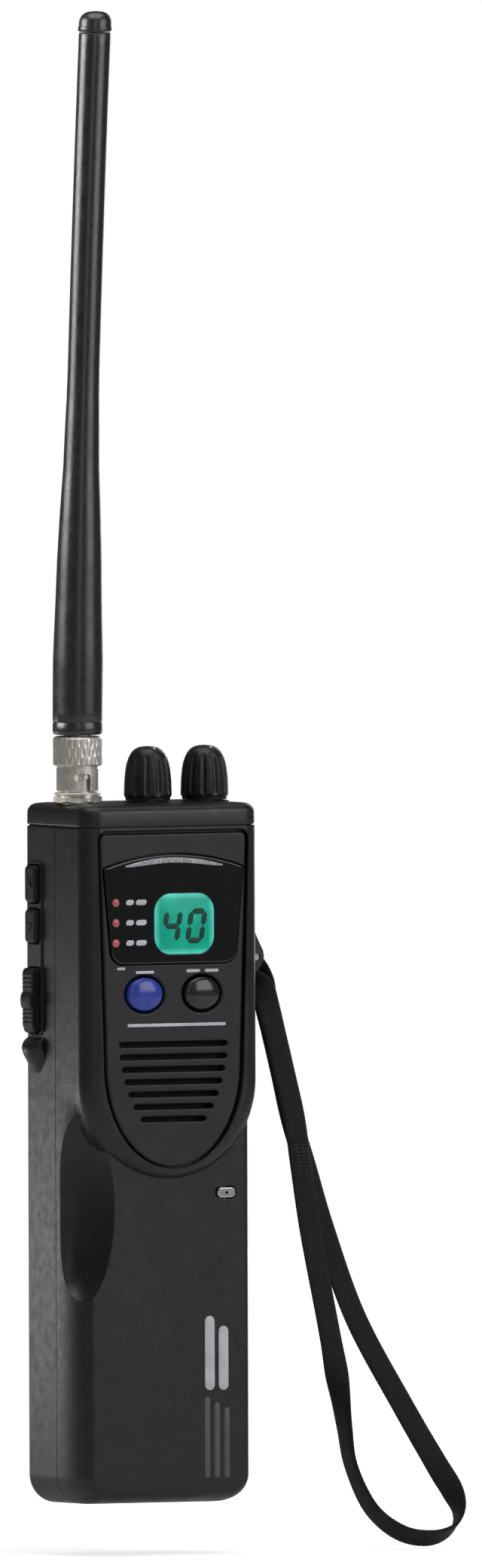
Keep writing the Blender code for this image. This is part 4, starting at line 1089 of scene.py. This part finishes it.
def strap_stations():
    """(x, z, y, twist) round the webbing's loop, down one strand and up the other."""
    bar = middle_of("strap_bar")
    y = bar.y + 0.05
    # Along both strands: x and z between them, the first one's twist, and half the way across.
    shared = ((35.3, 157.3, -10, 2.0), (37.3, 152.8, -52, 1.6), (38.8, 146.5, -80, 1.1),
              (40.8, 139.0, -90, 1.0), (44.0, 126.5, -90, 1.0), (47.3, 113.0, -90, 1.0))
    across_x, across_z = 0.93, 0.37
    down, up = [], []
    for x, z, twist, apart in shared:
        across, depth = apart * cos(radians(twist)), apart * sin(radians(twist))
        down.append((x - across_x * across, z - across_z * across, y + depth, twist))
        up.append((x + across_x * across, z + across_z * across, y - depth, -twist))
    loop = [(bar.x + 2.1 * cos(radians(a)), bar.z + 2.1 * sin(radians(a)), y, 0) for a in (20, 90, 160, 200)]
    # Below that the strands part, and the webbing turns back up.
    free = [(49.4, 99.0, y - 1.0, -90), (52.7, 79, y - 0.9, -90), (58.4, 53, y - 0.4, -90),
            (60.8, 42, y, -80), (62.8, 31, y, -32), (64.3, 21, y, -12), (66.5, 9.5, y, -6),
            (73.1, -3.0, y, -16), (82.8, -10.3, y, -33), (92.8, -12.2, y, -42), (99.9, -10.0, y, -30),
            (102.4, -5.0, y, 0), (100.4, 1.6, y, 48), (95.0, 9.8, y, 80), (84.3, 26.5, y, 90),
            (68.6, 53, y + 0.4, 90), (58.4, 79, y + 0.9, 90), (51.9, 99.0, y + 1.0, 90)]
    return [*loop, *down, *free, *reversed(up)]


def evenly(path, step):
    """The closed path's points resampled to an even spacing."""
    points = np.array([*path, path[0]])
    runs = np.linalg.norm(np.diff(points[:, :3], axis=0), axis=1)
    places = np.concatenate([[0], np.cumsum(runs)])
    count = round(places[-1] / step / 4) * 4  # whole yarn crossings, so that the weave closes
    wanted = np.arange(count) * places[-1] / count
    return np.stack([np.interp(wanted, places, points[:, i]) for i in range(points.shape[1])], axis=1)


def webbing_section(width, thick, count=30):
    """The webbing's cross-section: flat in the middle, with rounded edges."""
    section = []
    for k in range(count):
        a, b = cos(2 * pi * k / count), sin(2 * pi * k / count)
        section.append((width / 2 * abs(a) ** 0.55 * (1 if a >= 0 else -1),
                        thick / 2 * abs(b) ** 0.8 * (1 if b >= 0 else -1)))
    return section


def wrist_strap():
    """Flat woven webbing: a crowned section whose yarns cross in a herringbone of small bumps."""
    width, thick, step, pick = 7.0, 1.35, 0.36, 1.44
    path = evenly(smooth(strap_stations(), 24), step)
    section = webbing_section(width, thick)
    rings = []
    for i, (x, z, y, twist) in enumerate(path):
        before, after = path[i - 1], path[(i + 1) % len(path)]
        along = Vector((after[0] - before[0], after[2] - before[2], after[1] - before[1])).normalized()
        inward = along.cross(Vector((0, 1, 0))).normalized()
        side = inward.cross(along).normalized()
        wide = side * cos(radians(twist)) + inward * sin(radians(twist))
        face = along.cross(wide).normalized()
        ring = []
        for a, b in section:
            slope = abs(abs(a) - width / 4) / (width / 4)
            yarn = sin(2 * pi * (i * step / pick + 1.1 * slope))
            lift = 1 + 0.10 * yarn * (abs(b) / (thick / 2))
            ring.append(tuple(Vector((x, y, z)) + wide * a * (1 + 0.006 * yarn) + face * b * lift))
        rings.append(ring)
    strap = lofted("wrist_strap_look", rings, WEBBING, closed=True, sharp=80)
    stand_for(strap, "strap", "webbing", "wrist_strap")
    stitches(path)


def stitches(path):
    """A box of lock stitches that holds the two strands together where they meet."""
    down_strand = range(int(len(path) * 0.5))
    near = min(down_strand, key=lambda i: abs(path[i][1] - 101.0))
    rows = [(path[i], shift) for i in range(near - 12, near + 13, 3) for shift in (-1.9, 0.0, 1.9)]
    for count, ((x, z, y, _), shift) in enumerate(rows):
        thread = [(x + shift - 0.5, y - 2.72, z + 0.1), (x + shift, y - 2.86, z),
                  (x + shift + 0.5, y - 2.72, z - 0.1)]
        stand_for(tube(f"strap_stitch_{count}", thread, 0.16, THREAD, 6), "strap", "webbing")


# ---- finishes

PLASTIC = moulded("case_plastic", (0.0075, 0.0075, 0.0085), 0.36, 0.02, 0.55, 0.35, Specular_IOR_Level=0.55)
PANEL = moulded("panel_plastic", (0.0075, 0.0075, 0.008), 0.42, 0.015, 0.5, 0.2)
CLOTH = moulded("grille_cloth_black", (0.006, 0.006, 0.006), 0.8, 0.2, 0.6, 0.0)
GLOSS = glossy("window_gloss", (0.004, 0.004, 0.005))
LCD = lit_panel("lcd_lit", (0.10, 0.70, 0.58), (0.004, 0.40, 0.27), 0.36,
                LCD_CENTRE * MM, ((LCD_HIGH.x - LCD_LOW.x) * MM, (LCD_HIGH.z - LCD_LOW.z) * MM))
DIGIT = moulded("digit_ink", (0.0, 0.05, 0.035), 0.6, wear=0.0)
BRIGHT = metal("bright_trim", (0.62, 0.63, 0.66), 0.22)
LAMP = glossy("lamp_red", (0.55, 0.10, 0.12), 0.15)
PRINT = moulded("print_white", (0.62, 0.63, 0.68), 0.5, 0.01, 0.3, 0.0)
GREY_PRINT = moulded("print_grey", (0.10, 0.10, 0.11), 0.45, 0.01, 0.3, 0.0)
BLUE = glossy("key_blue_gloss", (0.025, 0.05, 0.36), 0.28, 0.5)
BLACK_KEY = glossy("key_black_gloss", (0.006, 0.006, 0.007), 0.24, 0.6)
KNOB = moulded("knob_plastic", (0.007, 0.007, 0.0075), 0.40, 0.012, 0.4, 0.35)
SHEATH = moulded("black_rubber", (0.006, 0.006, 0.007), 0.30, 0.012, 0.5, 0.2, Specular_IOR_Level=1.0)
SIDE_KEY = moulded("side_key_rubber", (0.005, 0.005, 0.005), 0.55, 0.015, 0.4, 0.25)
NICKEL = metal("warm_nickel", (0.93, 0.88, 0.80), 0.24, (1, 1, 8), metallic=0.6)
STEEL = metal("bare_steel", (0.50, 0.50, 0.51), 0.3)
CLIP = metal("clip_steel", (0.36, 0.36, 0.37), 0.34, (6, 6, 1))
WEBBING = webbing_weave()
THREAD = moulded("thread_black", (0.03, 0.03, 0.033), 0.6, 0.02, 0.2, 0.0)
BOARD = circuit_board()
BRASS = metal("brass", (0.72, 0.50, 0.20), 0.25)
MILKY = moulded("milky_plastic", (0.70, 0.70, 0.66), 0.35, 0.01, 0.5, 0.0)
CELL = moulded("cell_wrap", (0.10, 0.13, 0.20), 0.3, 0.01, 0.5, 0.0)
CONE = moulded("cone_paper", (0.03, 0.028, 0.025), 0.85, 0.1, 0.35, 0.0)
BOOT = moulded("soft_rubber", (0.02, 0.02, 0.02), 0.7, 0.03, 0.6, 0.0)

CARRIED_OVER = (
    (MILKY, ("lcd_light_guide", "jack_insulator")),
    (BOARD, ("display_board", "side_board", "main_board")),
    (BOOT, ("keypad_membrane", "microphone_boot", "ptt_switch", "accessory_socket")),
    (STEEL, ("speaker_frame", "speaker_magnet", "microphone_capsule", "volume_control", "squelch_control",
             "volume_shaft", "squelch_shaft", "antenna_core", "ptt_pin", "contact_strip_left",
             "contact_strip_right", "strap_bar")),
    (CONE, ("speaker_cone",)),
    (BRASS, ("jack_contact", "plug_pin")),
    (NICKEL, ("antenna_plug",)),
    (CELL, [f"battery_cell_{i}" for i in range(1, 9)]),
)


def finish_carried_over():
    """Gives each CAD node that no piece here stands for its material."""
    for material, nodes in CARRIED_OVER:
        for node in nodes:
            mesh = frame["nodes"][node].data
            mesh.materials.clear()
            mesh.materials.append(material)


# ---- stage


def floor():
    """A pale floor at the strap's lowest point; it glows a little towards the camera."""
    low = size_of("wrist_strap")[0].z - 0.3
    sides = 96
    outline = [(x, y, low) for x, y in arc((0, 0), 2600, 0, 360, sides)[:-1]]
    s = Shader("pale_floor")
    reach = s.vector_maths("LENGTH", {0: s.place}, "Value")
    seen = s.node("ShaderNodeLightPath").outputs["Is Camera Ray"]
    s.set(Base_Color=s.mix(s.span(s.noise(60.0), 0.0, 1.0), (0.86, 0.86, 0.86), (0.9, 0.9, 0.9)),
          Roughness=0.8, Specular_IOR_Level=0.1, Emission_Color=(1, 1, 1),
          Emission_Strength=s.maths("MULTIPLY", seen, s.span(reach, 0.62, 1.0, 0.10, 0.6)))
    piece("floor", outline, [tuple(range(sides))], s.material)


AIM = Vector((0, 0, 170))


def lamp(name, place, size, level, only=None):
    """A soft box in millimetres that faces the radio; level is its radiance.

    With only, a name's start, it lights no other pieces, as if flags shaded them.
    """
    light = bpy.data.lights.new(name, "AREA")
    light.shape = "RECTANGLE"
    light.size, light.size_y = size[0] * MM, size[1] * MM
    light.energy = level * pi * light.size * light.size_y
    obj = add_object(name, light)
    obj.location = Vector(place) * MM
    obj.rotation_euler = (AIM - Vector(place)).to_track_quat("-Z", "Y").to_euler()
    obj.visible_camera = False
    if only:
        lit = bpy.data.collections.new(f"{name}_lit")
        for found in [o for o in bpy.data.objects if o.name.startswith(only)]:
            lit.objects.link(found)
        obj.light_linking.receiver_collection = lit


def lights():
    """Soft boxes round the radio."""
    lamp("front_right", (560, -1000, 640), (800, 800), 2.3)
    lamp("front_left", (-430, -900, 620), (200, 900), 1.0)
    lamp("back_left", (-240, 430, 60), (240, 110), 2.2)
    lamp("left_high", (-700, 330, 560), (560, 480), 7.0, "antenna_")
    lamp("back_right", (800, 700, 300), (300, 1000), 2.4)
    lamp("top", (-60, -80, 1100), (900, 800), 1.9)


def sky():
    """White to the camera, and dimmer as a light."""
    world = bpy.data.worlds.new("studio")
    world.use_nodes = True
    tree = world.node_tree
    back = tree.nodes["Background"]
    back.inputs["Color"].default_value = (1, 1, 1, 1)
    level = tree.nodes.new("ShaderNodeMapRange")
    level.inputs["To Min"].default_value = 0.12
    level.inputs["To Max"].default_value = 1.0
    tree.links.new(tree.nodes.new("ShaderNodeLightPath").outputs["Is Camera Ray"], level.inputs["Value"])
    tree.links.new(level.outputs["Result"], back.inputs["Strength"])
    bpy.context.scene.world = world


def camera():
    """A long view from the front left, a little above the horizon and rolled by a trace."""
    azimuth, elevation, roll = radians(-28), radians(2), radians(-0.2)
    target = Vector((26.7, -14.15, 212.7)) * MM
    away = Vector((sin(azimuth) * cos(elevation), -cos(azimuth) * cos(elevation), sin(elevation)))
    lens = bpy.data.cameras.new("view")
    lens.type = "ORTHO"
    lens.ortho_scale = 464.3 * MM
    lens.clip_end = 20
    obj = add_object("view", lens)
    obj.location = target + away * 2.0
    level = (-away).to_track_quat("-Z", "Y")
    obj.rotation_euler = (level @ Quaternion((0, 0, 1), roll)).to_euler()
    bpy.context.scene.camera = obj


# ---- build

for make in (front_shell, rear_shell, top_cap, battery_door, face_panel, window, lcd, window_marks,
             panel_marks, front_marks, keys, mic_trim):
    make()
for name in ("volume", "squelch"):
    knob(name)
for make in (antenna_socket, collar, whip, talk_key, channel_keys, key_frame, jack_cover, belt_clip, clip_pin,
             case_screws, wrist_strap, finish_carried_over, floor, lights, sky, camera):
    make()

bpy.context.scene.view_settings.view_transform = "Standard"
